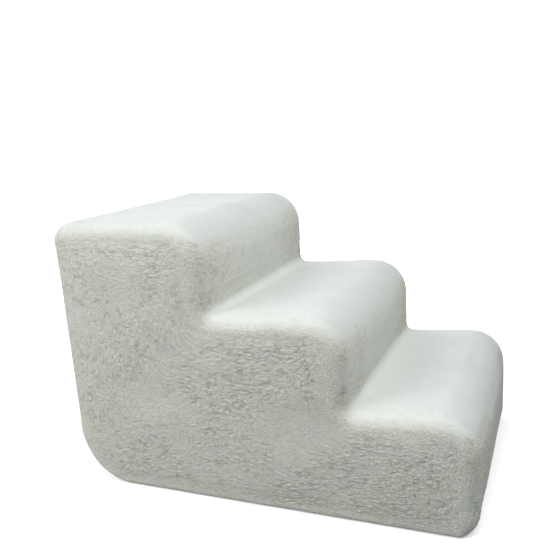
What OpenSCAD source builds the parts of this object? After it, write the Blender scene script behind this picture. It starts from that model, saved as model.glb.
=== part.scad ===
// Three-step foam stairs for a small pet, in a zip-off fleece cover.
// The foot of the stairs faces +X, Z is up, and the origin is at the middle
// of the footprint on the floor. All lengths are in millimetres.

/* [Overall size] */
// Length over all, from the zip slider's bail to the front of the lowest step
total_len = 614; // [560:1:680]
// Width over all, across the middle of the two side panels
total_w = 397; // [360:1:460]
// Height over all, at the crown of the top tread
total_h = 405; // [380:1:440]

/* [Steps] */
// Height of the lowest tread above the floor
low_rise = 162; // [150:1:180]
// Rise from the lowest tread to the middle one
mid_rise = 120; // [105:1:125]
// Depth of the top tread, from the back to the riser below it
top_depth = 240; // [215:1:245]
// Depth of the middle tread, from riser to riser
mid_depth = 197; // [180:1:205]
// Radius of the rounded front edge of each step
nose_r = 53; // [40:1:58]
// Radius of the hollow where a tread meets the next riser
hollow_r = 12; // [8:1:16]

/* [Corners] */
// Radius of the corner under the back
rear_foot_r = 88; // [60:1:92]
// Radius of the edge where the top tread meets the back
rear_top_r = 26; // [24:1:34]
// Radius of the edge where the lowest riser meets the floor
front_foot_r = 26; // [25:1:34]
// Rounding from the treads and risers to the side panels
side_edge_r = 24; // [18:1:24]
// Rounding from the back to the side panels
rear_edge_r = 12; // [10:1:16]

/* [Cover] */
// Thickness of the fleece cover, backing and pile together
cover_t = 8; // [6:0.5:9]
// Thickness of the non-slip base panel
base_t = 3; // [2:0.5:4]
// How far the filled cover swells in the middle of a panel
crown = 3; // [1:0.5:5]
// Width of the groove at a sewn seam
seam_gap = 0.5; // [0.4:0.1:0.8]
// Play between the foam and the cover
core_gap = 0.4; // [0.3:0.1:0.6]
// Thickness of the glue line between two foam slabs
glue_t = 0.3; // [0.2:0.1:0.6]

/* [Zip] */
// Distance from each side of the cover in to the zip's upright run
zip_margin = 47; // [38:1:70]
// Height of the cross run of the zip above the floor
zip_low_z = 106; // [104:1:120]
// Radius of the two lower corners of the zip, on its centre line
zip_corner_r = 40; // [30:1:50]
// Width of the slot in the fleece that the zip lies in
slot_w = 14; // [13:0.5:18]
// Thickness of the woven tape
tape_t = 0.8; // [0.6:0.1:1.2]
// Depth of the tape behind the face of the fleece
tape_in = 3.4; // [3:0.1:4]
// Spacing of the teeth along a row
tooth_pitch = 6; // [5:0.5:9]
// Thickness of the teeth, front to back
tooth_t = 3; // [2.6:0.1:3.2]
// Reach of a row of teeth from the centre line to the tape
row_reach = 3.1; // [2.8:0.1:3.4]
// Width of the open line between the two rows
row_gap = 1.6; // [1.4:0.1:1.8]
// Height of the slider along the zip
slider_h = 14; // [11:0.5:17]
// Length of the pull tab from its pivot
pull_len = 28; // [22:1:36]
// Width of the pull tab
pull_w = 7; // [6:0.5:8]

/* [Hidden] */

// Colours
fleece_white = [0.90, 0.91, 0.88];
fleece_side = [0.78, 0.79, 0.76];
foam_cream = [0.95, 0.92, 0.80];
base_grey = [0.72, 0.72, 0.70];
tape_white = [0.88, 0.88, 0.86];
tooth_white = [0.82, 0.83, 0.83];
slider_steel = [0.66, 0.67, 0.68];

// Overrun of a cut past the face that it leaves through
cut_over = tape_t;

// Bail of the slider, which sets how far the zip stands out behind the fleece
plate_t = tape_t * 2;
bail_bar_t = tape_t * 1.5;
pivot_r = tape_t * 0.9;
bail_room = pivot_r * 3.6;
plate_out = tape_t * 0.25;
zip_proud = bail_room + bail_bar_t - plate_out;

// Straight faces of the outline, in the side view
back_x = -total_len / 2 + zip_proud;
front_x = total_len / 2 - crown;
top_z = total_h - crown;
low_z = low_rise;
mid_z = low_rise + mid_rise;
top_riser_x = back_x + top_depth;
mid_riser_x = top_riser_x + mid_depth;

// Flat width between the rounded side edges, as the distance from the middle
side_y = total_w / 2 - crown;
flat_y = side_y - side_edge_r;
zip_y = side_y - zip_margin;

// Seam between strips and side panels runs half way round the side edge
seam_angle = 45;
half_seam_angle = (seam_gap / 2) / (side_edge_r - cover_t / 2) * 180 / PI;
strip_end = seam_angle - half_seam_angle;
panel_start = seam_angle + half_seam_angle;
hollow_seam_angle = (seam_gap / 2) / hollow_r * 180 / PI;

// Numbers of steps along the round stretches
nose_steps = 6;
foot_steps = 4;
rear_steps = 6;
hollow_steps = 3;
edge_steps = 3;
cap_cells = 4;
zip_steps = 8;

// Tops of the foam layers, and of the back panels under the top strip
core_t = cover_t + core_gap;
glue_low_z = low_z - core_t + glue_t;
glue_mid_z = mid_z - core_t + glue_t;
back_hem = cover_t * 0.75;
back_top_z = top_z - rear_top_r - back_hem - seam_gap;

// Outline points are [x, z, normal x, normal z, share of the crown]
function round_edge(cx, cz, r, from, to, steps, share) = [
    for (i = [0:steps])
        let (a = from + (to - from) * i / steps)
        [cx + r * cos(a), cz + r * sin(a), cos(a), sin(a), share]
];

function hollow_edge(cx, cz, r, from, to, steps) = [
    for (i = [0:steps])
        let (a = from + (to - from) * i / steps)
        [cx + r * cos(a), cz + r * sin(a), -cos(a), -sin(a), 0]
];

function front_foot(from, to, steps) =
    round_edge(front_x - front_foot_r, front_foot_r, front_foot_r, from, to, steps, 0);

function rear_foot(from, to, steps) =
    round_edge(back_x + rear_foot_r, rear_foot_r, rear_foot_r, from, to, steps, 0);

function rear_top(from, to, steps) =
    round_edge(back_x + rear_top_r, top_z - rear_top_r, rear_top_r, from, to, steps, 0);

function nose(riser_x, tread_z) =
    round_edge(riser_x - nose_r, tread_z - nose_r, nose_r, 0, 90, nose_steps, 1);

// Hollow corner, in two halves that meet at the seam
function hollow_low(riser_x, tread_z, to) =
    hollow_edge(riser_x + hollow_r, tread_z + hollow_r, hollow_r, 270, to, hollow_steps);

function hollow_high(riser_x, tread_z, from) =
    hollow_edge(riser_x + hollow_r, tread_z + hollow_r, hollow_r, from, 180, hollow_steps);

function tread_point(from_x, to_x, z, part, share) =
    [from_x + (to_x - from_x) * part, z, 0, 1, share];

function riser_point(x, from_z, to_z, part, share) =
    [x, from_z + (to_z - from_z) * part, 1, 0, share];

// Two points along each tread, where the swell dies out towards the hollow
function tread_run(from_x, to_x, z) = [
    tread_point(from_x, to_x, z, 0.5, 1),
    tread_point(from_x, to_x, z, 0.8, 0.6)
];

split_angle = 225;

lower_profile = concat(
    front_foot(-90, 0, foot_steps),
    [riser_point(front_x, front_foot_r, low_z - nose_r, 0.5, 0.7)],
    nose(front_x, low_z),
    tread_run(front_x - nose_r, mid_riser_x + hollow_r, low_z),
    hollow_low(mid_riser_x, low_z, split_angle + hollow_seam_angle)
);

middle_profile = concat(
    hollow_high(mid_riser_x, low_z, split_angle - hollow_seam_angle),
    [riser_point(mid_riser_x, low_z + hollow_r, mid_z - nose_r, 0.5, 0.4)],
    nose(mid_riser_x, mid_z),
    tread_run(mid_riser_x - nose_r, top_riser_x + hollow_r, mid_z),
    hollow_low(top_riser_x, mid_z, split_angle + hollow_seam_angle)
);

upper_profile = concat(
    hollow_high(top_riser_x, mid_z, split_angle - hollow_seam_angle),
    [riser_point(top_riser_x, mid_z + hollow_r, top_z - nose_r, 0.5, 0.4)],
    nose(top_riser_x, top_z),
    [tread_point(top_riser_x - nose_r, back_x + rear_top_r, top_z, 0.5, 1)],
    rear_top(90, 180, foot_steps),
    [[back_x, top_z - rear_top_r - back_hem, -1, 0, 0]]
);

// Side panel outline as two chains that run from the front foot to the top
// of the back, one over the steps and one along the floor and the back.
// Their ends lie a little to each side of the corner's own middle.
corner_angle = 10;
stair_chain = concat(
    front_foot(-seam_angle + corner_angle, 0, 2),
    nose(front_x, low_z),
    hollow_low(mid_riser_x, low_z, split_angle),
    hollow_high(mid_riser_x, low_z, split_angle),
    nose(mid_riser_x, mid_z),
    hollow_low(top_riser_x, mid_z, split_angle),
    hollow_high(top_riser_x, mid_z, split_angle),
    nose(top_riser_x, top_z),
    rear_top(90, 90 + seam_angle - corner_angle, 2)
);
floor_chain = concat(
    front_foot(-seam_angle - corner_angle, -90, 2),
    rear_foot(270, 180, rear_steps),
    rear_top(180, 90 + seam_angle + corner_angle, 2)
);

// Both chains are cut by the same slanting lines, along which x - z is fixed
function slant(p) = p[0] - p[1];

function falling(list) =
    len(list) < 2 ? list :
    let (
        pivot = list[floor(len(list) / 2)],
        above = [for (v = list) if (v > pivot) v],
        same = [for (v = list) if (v == pivot) v],
        below = [for (v = list) if (v < pivot) v]
    )
    concat(falling(above), same, falling(below));

cut_step = hollow_r / 6;
all_slants = falling(concat([for (p = stair_chain) slant(p)], [for (p = floor_chain) slant(p)]));
last_slant = len(all_slants) - 1;
slants = [
    for (i = [0:last_slant])
        if (i == 0 || i == last_slant
            || (all_slants[i - 1] - all_slants[i] > cut_step
                && all_slants[i] - all_slants[last_slant] > cut_step))
            all_slants[i]
];

// The chain's outline point on one slanting line
function on_chain(chain, s) = [
    for (field = [0:3]) lookup(s, [for (p = chain) [slant(p), p[field]]])
];

stair_points = [for (s = slants) on_chain(stair_chain, s)];
floor_points = [for (s = slants) on_chain(floor_chain, s)];

// How far a layer of the cover lies inside the outline at an angle round the
// side edge: 0 degrees is the tread or riser and 90 degrees the side panel.
// The depth is 0 on the outer face, and grows towards the foam.
function rounding(r, depth, a) = r - (r - depth) * cos(a);

function inset_x(n, depth, a) = rounding(n > 0 ? side_edge_r : rear_edge_r, depth, a) * n;

function inset_z(n, depth, floor_depth, a) =
    n * (n > 0 ? rounding(side_edge_r, depth, a) : floor_depth);

// A point of the section, with y from the angle and the outline drawn in
function layer_y(depth, a) = flat_y + (side_edge_r - depth) * sin(a);

function drawn_in(p, depth, floor_depth, a) = [
    p[0] - inset_x(p[2], depth, a),
    p[1] - inset_z(p[3], depth, floor_depth, a)
];

// Stations across a strip, as [y share of the flat width, angle]
edge_angles = [for (i = [edge_steps:-1:1]) strip_end * i / edge_steps];
strip_stations = concat(
    [for (a = edge_angles) [-1, a]],
    [for (share = [-1, -0.5, 0, 0.5, 1]) [share, 0]],
    [for (i = [1:edge_steps]) [1, strip_end * i / edge_steps]]
);

function strip_y(station, depth) =
    station[1] == 0 ? station[0] * flat_y : station[0] * layer_y(depth, station[1]);

function strip_layer(profile, depth, floor_depth, swell) = [
    for (p = profile) [
        for (station = strip_stations)
            let (
                q = drawn_in(p, depth, floor_depth, station[1]),
                lift = station[1] == 0 ? swell * p[4] * (1 - station[0] * station[0]) : 0
            )
            [q[0] + lift * p[2], strip_y(station, depth), q[1] + lift * p[3]]
    ]
];

// Two triangles for the four corners of a cell
function cell(a, b, c, d) = [[a, b, c], [a, c, d]];

function flat_list(lists) = [for (list = lists) for (item = list) item];

// Closed sheet between two grids of points that have the same rows and columns
module sheet(outer, inner) {
    rows = len(outer);
    cols = len(outer[0]);
    layer = rows * cols;
    rim = concat(
        [for (j = [0:cols - 1]) j],
        [for (i = [1:rows - 1]) i * cols + cols - 1],
        [for (j = [cols - 2:-1:0]) (rows - 1) * cols + j],
        [for (i = [rows - 2:-1:1]) i * cols]
    );
    front = [
        for (i = [0:rows - 2])
            for (j = [0:cols - 2])
                let (a = i * cols + j)
                cell(a, a + cols, a + cols + 1, a + 1)
    ];
    back = [
        for (i = [0:rows - 2])
            for (j = [0:cols - 2])
                let (a = layer + i * cols + j)
                cell(a, a + 1, a + cols + 1, a + cols)
    ];
    edge = [
        for (k = [0:len(rim) - 1])
            let (p = rim[k], q = rim[(k + 1) % len(rim)])
            cell(p, q, q + layer, p + layer)
    ];
    polyhedron(
        points = concat(flat_list(outer), flat_list(inner)),
        faces = flat_list(concat(front, back, edge))
    );
}

module step_strip(profile) {
    color(fleece_white)
        sheet(strip_layer(profile, 0, 0, crown), strip_layer(profile, cover_t, base_t, 0));
}

module lower_step_strip() {
    step_strip(lower_profile);
}

module middle_step_strip() {
    step_strip(middle_profile);
}

module upper_step_strip() {
    step_strip(upper_profile);
}

// Side panel: rings round the edge, then a swelling middle cut into cells.
// Grid position i counts the slanting lines, j runs from stair to floor chain.
panel_rows = len(slants);
panel_cols = cap_cells + 1;
panel_loop = concat(
    [for (i = [0:panel_rows - 1]) [i, 0]],
    [for (j = [1:cap_cells]) [panel_rows - 1, j]],
    [for (i = [panel_rows - 2:-1:0]) [i, cap_cells]],
    [for (j = [cap_cells - 1:-1:1]) [0, j]]
);
loop_len = len(panel_loop);
ring_angles = [for (k = [0:edge_steps - 1]) panel_start + (90 - panel_start) * k / edge_steps];

function panel_point(i, j, depth, floor_depth, a, swell) =
    let (
        p = drawn_in(stair_points[i], depth, floor_depth, a),
        q = drawn_in(floor_points[i], depth, floor_depth, a),
        share = j / cap_cells,
        m = p + (q - p) * share,
        span = min(1, norm(q - p) / low_rise),
        lift = swell * span * 4 * share * (1 - share)
    )
    [m[0], layer_y(depth, a) + lift, m[1]];

function panel_layer(depth, floor_depth, swell) = concat(
    [
        for (i = [0:panel_rows - 1])
            for (j = [0:cap_cells])
                panel_point(i, j, depth, floor_depth, 90, swell)
    ],
    [
        for (a = ring_angles)
            for (at = panel_loop)
                panel_point(at[0], at[1], depth, floor_depth, a, 0)
    ]
);

function ring_index(k, m) =
    let (at = panel_loop[m % loop_len])
    k == edge_steps
        ? at[0] * panel_cols + at[1]
        : panel_rows * panel_cols + k * loop_len + m % loop_len;

function flipped(face) = [face[0], face[2], face[1]];

module side_panel() {
    layer = panel_rows * panel_cols + edge_steps * loop_len;
    middle = [
        for (i = [0:panel_rows - 2])
            for (j = [0:cap_cells - 1])
                let (a = i * panel_cols + j)
                cell(a, a + 1, a + panel_cols + 1, a + panel_cols)
    ];
    rings = [
        for (k = [0:edge_steps - 1])
            for (m = [0:loop_len - 1])
                cell(ring_index(k, m), ring_index(k + 1, m), ring_index(k + 1, m + 1), ring_index(k, m + 1))
    ];
    skin = flat_list(concat(middle, rings));
    lining = [for (face = skin) flipped(face) + [layer, layer, layer]];
    hem = [
        for (m = [0:loop_len - 1])
            let (p = ring_index(0, m), q = ring_index(0, m + 1))
            cell(p, q, q + layer, p + layer)
    ];
    color(fleece_side)
        polyhedron(
            points = concat(panel_layer(0, 0, crown), panel_layer(cover_t, base_t, 0)),
            faces = concat(skin, lining, flat_list(hem))
        );
}

module right_side_panel() {
    side_panel();
}

module left_side_panel() {
    mirror([0, 1, 0]) side_panel();
}

// Foam slab: rings of one outline, drawn in towards the two sides
core_angles = [for (i = [0:edge_steps]) 90 * i / edge_steps];
core_stations = concat(
    [for (i = [edge_steps:-1:0]) [-1, core_angles[i]]],
    [for (a = core_angles) [1, a]]
);

module foam_slab(outline, mid) {
    count = len(outline);
    rings = len(core_stations);
    ring_points = [
        for (station = core_stations)
            for (p = outline)
                let (q = drawn_in(p, core_t, base_t + core_gap, station[1]))
                [q[0], station[0] * layer_y(core_t, station[1]), q[1]]
    ];
    end_y = layer_y(core_t, 90);
    mids = [[mid[0], -end_y, mid[1]], [mid[0], end_y, mid[1]]];
    walls = [
        for (k = [0:rings - 2])
            for (m = [0:count - 1])
                let (a = k * count + m, b = k * count + (m + 1) % count)
                cell(a, b, b + count, a + count)
    ];
    left_end = [for (m = [0:count - 1]) [rings * count, (m + 1) % count, m]];
    right_base = (rings - 1) * count;
    right_end = [
        for (m = [0:count - 1])
            [rings * count + 1, right_base + m, right_base + (m + 1) % count]
    ];
    color(foam_cream)
        polyhedron(
            points = concat(ring_points, mids),
            faces = concat(flat_list(walls), left_end, right_end)
        );
}

module foam_base_slab() {
    foam_slab(
        concat(
            front_foot(-90, 0, foot_steps),
            nose(front_x, low_z),
            [[mid_riser_x, low_z, 1, 1], [mid_riser_x, glue_low_z, 1, 0], [back_x, glue_low_z, -1, 0]],
            rear_foot(180, 270, rear_steps)
        ),
        [(back_x + mid_riser_x) / 2, low_z / 2]
    );
}

module foam_middle_slab() {
    foam_slab(
        concat(
            [[mid_riser_x, glue_low_z, 1, 0]],
            nose(mid_riser_x, mid_z),
            [[top_riser_x, mid_z, 1, 1], [top_riser_x, glue_mid_z, 1, 0]],
            [[back_x, glue_mid_z, -1, 0], [back_x, glue_low_z, -1, 0]]
        ),
        [(back_x + top_riser_x) / 2, (glue_low_z + mid_z - side_edge_r) / 2]
    );
}

module foam_top_slab() {
    foam_slab(
        concat(
            [[top_riser_x, glue_mid_z, 1, 0]],
            nose(top_riser_x, top_z),
            rear_top(90, 180, foot_steps),
            [[back_x, glue_mid_z, -1, 0]]
        ),
        [(back_x + top_riser_x) / 2, (glue_mid_z + top_z) / 2]
    );
}

// Base panel lies flat between the hems of the side panels
module base_panel() {
    from_x = back_x + rear_foot_r + seam_gap;
    to_x = front_x - front_foot_r - seam_gap;
    half_y = layer_y(cover_t, panel_start) - seam_gap;
    color(base_grey)
        translate([from_x, -half_y, 0])
            cube([to_x - from_x, 2 * half_y, base_t]);
}

// Centre line of the zip on the back, as a length from the top of its left
// upright. The offset is positive towards the flap that it opens.
zip_top_z = back_top_z - seam_gap;
leg_len = zip_top_z - zip_low_z - zip_corner_r;
bend_len = zip_corner_r * PI / 2;
cross_len = 2 * (zip_y - zip_corner_r);
cross_start = leg_len + bend_len;
cross_end = cross_start + cross_len;
right_start = cross_end + bend_len;
zip_len = right_start + leg_len;
bend_z = zip_low_z + zip_corner_r;
bend_y = zip_y - zip_corner_r;

function bend_at(side, a, offset) =
    [side * bend_y + (zip_corner_r - offset) * cos(a), bend_z + (zip_corner_r - offset) * sin(a)];

function zip_at(s, offset) =
    s <= leg_len ? [-zip_y + offset, zip_top_z - s] :
    s < cross_start ? bend_at(-1, 180 + 90 * (s - leg_len) / bend_len, offset) :
    s <= cross_end ? [-bend_y + s - cross_start, zip_low_z + offset] :
    s < right_start ? bend_at(1, 270 + 90 * (s - cross_end) / bend_len, offset) :
    [zip_y - offset, bend_z + s - right_start];

// Stops along the run where its straight and round stretches have a point
function zip_stops(margin) = concat(
    [margin],
    [for (k = [0:zip_steps]) leg_len + bend_len * k / zip_steps],
    [for (k = [0:zip_steps]) cross_end + bend_len * k / zip_steps],
    [zip_len - margin]
);

function zip_edge(offset, margin) = [for (s = zip_stops(margin)) zip_at(s, offset)];

function backwards(list) = [for (i = [len(list) - 1:-1:0]) list[i]];

// Flat shape drawn in the plane of the back, given as [y, z] points
module on_back(depth, thick) {
    translate([back_x + depth, 0, 0])
        multmatrix([[0, 0, 1, 0], [1, 0, 0, 0], [0, 1, 0, 0], [0, 0, 0, 1]])
            linear_extrude(thick)
                children();
}

module back_flap() {
    flap_y = zip_y - slot_w / 2;
    color(fleece_white)
        on_back(0, cover_t)
            polygon(concat(
                [[-flap_y, back_top_z]],
                zip_edge(slot_w / 2, seam_gap),
                [[flap_y, back_top_z]]
            ));
}

// Side borders of the back, from the slot round to the side panel's seam
border_y = zip_y + slot_w / 2;
border_stations = concat(
    [[border_y, 0], [flat_y, 0]],
    [for (i = [1:edge_steps]) [flat_y, strip_end * i / edge_steps]]
);

function border_point(station, z, depth) = [
    back_x + rounding(rear_edge_r, depth, station[1]),
    station[1] == 0 ? station[0] : layer_y(depth, station[1]),
    z
];

function border_layer(depth) = [
    for (z = [back_top_z, bend_z + seam_gap / 2])
        [for (station = border_stations) border_point(station, z, depth)]
];

module back_border_right() {
    color(fleece_white) sheet(border_layer(0), border_layer(cover_t));
}

module back_border_left() {
    mirror([0, 1, 0]) back_border_right();
}

// Lower border: its upper edge follows the slot, its lower one meets the base
outer_bend_r = zip_corner_r + slot_w / 2;
bend_angles = [for (k = [0:zip_steps]) 90 * k / zip_steps];
hem_half = concat(
    [for (k = [0:zip_steps]) [bend_y + outer_bend_r * sin(bend_angles[k]), 0]],
    [[flat_y, 0]],
    [for (i = [1:edge_steps]) [flat_y, strip_end * i / edge_steps]]
);
hem_stations = concat(
    [for (station = backwards(hem_half)) [-1, station[0], station[1]]],
    [for (station = hem_half) [1, station[0], station[1]]]
);

function hem_top(y) =
    y >= bend_y + outer_bend_r
        ? bend_z - seam_gap / 2
        : min(bend_z - seam_gap / 2, bend_z - sqrt(outer_bend_r ^ 2 - (y - bend_y) ^ 2));

function hem_y(station, depth) =
    station[0] * (station[2] == 0 ? station[1] : layer_y(depth, station[2]));

function hem_layer(depth, floor_depth) = concat(
    [[
        for (station = hem_stations)
            [back_x + rounding(rear_edge_r, depth, station[2]), hem_y(station, depth), hem_top(station[1])]
    ]],
    [
        for (p = rear_foot(180, 270, rear_steps)) [
            for (station = hem_stations)
                let (q = drawn_in(p, depth, floor_depth, station[2]))
                [q[0], hem_y(station, depth), q[1]]
        ]
    ]
);

module back_border_bottom() {
    color(fleece_white) sheet(hem_layer(0, 0), hem_layer(cover_t, base_t));
}

// Zip tapes reach from the teeth to the edges of the slot
tape_reach = slot_w / 2 - seam_gap / 2;

module zip_tape(side) {
    color(tape_white)
        on_back(tape_in, tape_t)
            polygon(concat(
                zip_edge(side * row_reach, 0),
                backwards(zip_edge(side * tape_reach, 0))
            ));
}

module zip_tape_flap() {
    zip_tape(1);
}

module zip_tape_border() {
    zip_tape(-1);
}

// A row of teeth on its spine, cut as one comb
tooth_depth = tape_in + tape_t / 2 - tooth_t / 2;
end_room = tooth_pitch;
tooth_count = floor((zip_len - 2 * end_room) / tooth_pitch);
pitch = (zip_len - 2 * end_room) / tooth_count;
tooth_share = 0.45;
spine_w = (row_reach - row_gap / 2) * 0.3;

module tooth_row(side) {
    tip = side * row_gap / 2;
    root = side * (row_reach - spine_w);
    teeth = [
        for (k = [0:tooth_count - 1])
            let (
                mid = end_room + (k + 0.5) * pitch,
                from = mid - pitch * tooth_share / 2,
                to = mid + pitch * tooth_share / 2
            )
            [zip_at(from, root), zip_at(from, tip), zip_at(to, tip), zip_at(to, root)]
    ];
    color(tooth_white)
        on_back(tooth_depth, tooth_t)
            polygon(concat(
                [zip_at(end_room, root)],
                flat_list(teeth),
                [zip_at(zip_len - end_room, root)],
                backwards(zip_edge(side * row_reach, end_room))
            ));
}

module zip_teeth_flap() {
    tooth_row(1);
}

module zip_teeth_border() {
    tooth_row(-1);
}

// Stops at the two top ends of the zip, clamped at the edge of the tapes
stop_h = end_room * 0.6;
stop_z = zip_top_z - end_room;
stop_depth = tape_in - tooth_t / 2;
stop_t = tooth_t + tape_t;

module zip_top_stops() {
    stop_w = row_reach - row_gap / 2;
    color(slider_steel)
        for (side = [0, 1])
            translate([back_x + stop_depth, zip_y, stop_z])
                mirror([0, side, 0])
                    translate([0, row_gap / 2, 0])
                        cube([stop_t, stop_w, stop_h]);
}

module zip_bottom_stop() {
    color(slider_steel)
        translate([back_x + stop_depth, -zip_y - row_reach, stop_z])
            cube([stop_t, 2 * row_reach, stop_h]);
}

// Slider, drawn about its own middle with the outer face of the fleece at x 0
slider_w = row_reach * 2 + slot_w * 0.2;
slide_play = tape_t * 0.4;
slider_z = stop_z - slide_play - slider_h / 2;
plate_in = tooth_depth - slide_play;
back_plate_x = tooth_depth + tooth_t + slide_play;
web_w = row_gap - 2 * slide_play;
web_h = slider_h * 0.5;
lip_w = tape_t;
lip_depth = (tooth_t - tape_t) / 2 - slide_play;
pivot_x = -plate_out - bail_room + pivot_r * 1.8;
bail_w = pull_w * 0.32;
bail_h = slider_h * 0.62;
post_h = bail_h * 0.16;

module slider_plate(from_x, thick) {
    corner = slider_w * 0.3;
    translate([from_x, 0, 0])
        rotate([90, 0, 90])
            linear_extrude(thick)
                hull()
                    for (y = [-1, 1])
                        for (z = [-1, 1])
                            translate([y * (slider_w / 2 - corner), z * (slider_h / 2 - corner)])
                                circle(corner, $fn = 32);
}

module zip_slider() {
    front_x0 = plate_in - plate_t;
    bail_x = -zip_proud;
    color(slider_steel)
        translate([back_x, zip_y, slider_z]) {
            slider_plate(front_x0, plate_t);
            slider_plate(back_plate_x, plate_t * 0.75);
            translate([front_x0 + plate_t / 2, -web_w / 2, slider_h / 2 - web_h])
                cube([back_plate_x - front_x0, web_w, web_h - slider_h * 0.1]);
            for (side = [0, 1])
                mirror([0, side, 0]) {
                    translate([plate_in - plate_t / 2, slider_w / 2 - lip_w, -slider_h * 0.3])
                        cube([plate_t / 2 + lip_depth, lip_w, slider_h * 0.6]);
                    translate([back_plate_x - lip_depth, slider_w / 2 - lip_w, -slider_h * 0.3])
                        cube([lip_depth + plate_t / 2, lip_w, slider_h * 0.6]);
                }
            translate([bail_x, -bail_w / 2, -bail_h / 2])
                cube([bail_bar_t, bail_w, bail_h]);
            for (side = [0, 1])
                mirror([0, 0, side])
                    translate([bail_x, -bail_w / 2, bail_h / 2 - post_h])
                        cube([front_x0 + plate_t / 2 - bail_x, bail_w, post_h]);
        }
}

// Pull tab, hanging from its cross pin behind the bail
arm_w = (pull_w - bail_w) / 2 - slide_play;
pull_t = pivot_r * 2;
eye_len = bail_h * 0.62;

module zip_pull() {
    tab_z = -pull_len + pull_w / 2;
    color(slider_steel)
        translate([back_x + pivot_x, zip_y, slider_z]) {
            rotate([90, 0, 0])
                cylinder(h = pull_w, r = pivot_r, center = true, $fn = 32);
            for (side = [0, 1])
                mirror([0, side, 0])
                    translate([-pull_t / 2, pull_w / 2 - arm_w, -eye_len - pull_t])
                        cube([pull_t, arm_w, eye_len + pull_t]);
            difference() {
                translate([-pull_t / 2, 0, 0])
                    rotate([90, 0, 90])
                        linear_extrude(pull_t)
                            hull() {
                                translate([-pull_w / 2, -eye_len - pull_w / 2])
                                    square([pull_w, pull_w / 2]);
                                translate([0, tab_z])
                                    circle(pull_w / 2, $fn = 32);
                            }
                translate([-pull_t / 2 - cut_over, 0, tab_z])
                    rotate([0, 90, 0])
                        cylinder(h = pull_t + 2 * cut_over, r = pull_w * 0.22, $fn = 32);
            }
        }
}

foam_base_slab();
foam_middle_slab();
foam_top_slab();
left_side_panel();
right_side_panel();
lower_step_strip();
middle_step_strip();
upper_step_strip();
back_flap();
back_border_left();
back_border_right();
back_border_bottom();
base_panel();
zip_tape_flap();
zip_tape_border();
zip_teeth_flap();
zip_teeth_border();
zip_slider();
zip_pull();
zip_top_stops();
zip_bottom_stop();
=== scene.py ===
"""Looks of a three-step foam pet stair in a zip-off fleece cover.

All lengths are in metres. The foot of the stairs faces +X, Z is up, and the
origin is at the middle of the footprint on the floor. Every cover panel is a
grid of points on the cover's smooth form, raised by the wool of its pile.
"""
import logging
import math
from collections.abc import Iterator
from dataclasses import dataclass, field
from enum import Enum
from itertools import product

import bpy
import numpy as np
from mathutils import Matrix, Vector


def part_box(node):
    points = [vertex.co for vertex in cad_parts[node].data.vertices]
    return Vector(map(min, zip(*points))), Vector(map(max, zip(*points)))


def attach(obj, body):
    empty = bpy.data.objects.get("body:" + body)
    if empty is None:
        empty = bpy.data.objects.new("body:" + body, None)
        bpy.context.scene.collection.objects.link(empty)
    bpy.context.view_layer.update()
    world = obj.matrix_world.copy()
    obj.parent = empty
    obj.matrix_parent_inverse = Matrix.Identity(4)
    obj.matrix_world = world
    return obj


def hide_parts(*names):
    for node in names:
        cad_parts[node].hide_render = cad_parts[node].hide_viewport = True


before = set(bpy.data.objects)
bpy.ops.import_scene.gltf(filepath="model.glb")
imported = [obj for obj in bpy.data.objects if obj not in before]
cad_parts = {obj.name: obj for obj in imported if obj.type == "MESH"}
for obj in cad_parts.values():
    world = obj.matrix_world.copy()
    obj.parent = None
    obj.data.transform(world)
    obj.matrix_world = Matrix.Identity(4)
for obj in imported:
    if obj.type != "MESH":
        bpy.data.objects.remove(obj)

Array = np.ndarray
Pair = tuple[float, float]
Point = tuple[float, float, float]
Colour = tuple[float, float, float, float]
Material = bpy.types.Material
Node = bpy.types.Node
Tree = bpy.types.NodeTree
Piece = bpy.types.Object
Socket = bpy.types.NodeSocket

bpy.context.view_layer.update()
STAIRS = "stairs"
MM = 0.001
RIGHT = math.pi / 2
WHITE = (1.0, 1.0, 1.0, 1.0)
GREY = (0.8, 0.8, 0.8, 1.0)
HASH_AXES = (0x1F1F1F1F, 0x5F356495, 0x6C8E9CF5)
HASH_STEP = 0x9E3779B9
HASH_FOLDS = ((16, 0x7FEB352D), (15, 0x846CA68B))

log = logging.getLogger("pet_stairs")


# Numbers and noise

def smooth(t: Array) -> Array:
    """Returns t held between 0 and 1 and eased at both ends, 3 t^2 - 2 t^3."""
    held = np.clip(t, 0.0, 1.0)
    return held * held * (3.0 - 2.0 * held)


def between(low: float, high: float, t: Array) -> Array:
    """Returns an eased step of t, 0 below low and 1 above high."""
    return smooth((t - low) / (high - low))


def signed_root(v: Array, power: float) -> Array:
    """Returns a power of the size of v, with the sign of v."""
    return np.sign(v) * np.abs(v) ** power


def stacked(*parts: Array | float) -> Array:
    """Returns parts broadcast to one shape and stacked as its last axis."""
    return np.stack(np.broadcast_arrays(*parts), axis=-1)


def hashed(cells: Array, seed: int) -> Array:
    """Gives every cell of a lattice three even random numbers.

    The three cell numbers are multiplied by large odd numbers and joined with
    the seed, and the result is folded on itself by shifts and products.

    Args:
        cells: Rows of three whole cell numbers.
        seed: Number of the pattern.

    Returns:
        Numbers from 0 to 1, in the shape of cells.
    """
    c = cells.astype(np.int64).astype(np.uint32)
    x, y, z = (c[:, k] * np.uint32(HASH_AXES[k]) for k in range(3))
    key = (x ^ y ^ z) + np.uint32(seed * 7919 + 13)
    out = np.empty((len(key), 3))
    for k in range(3):
        h = key + np.uint32((k * HASH_STEP) & 0xFFFFFFFF)
        for shift, factor in HASH_FOLDS:
            h ^= h >> np.uint32(shift)
            h *= np.uint32(factor)
        out[:, k] = (h ^ (h >> np.uint32(16))) / 2.0 ** 32
    return out


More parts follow.
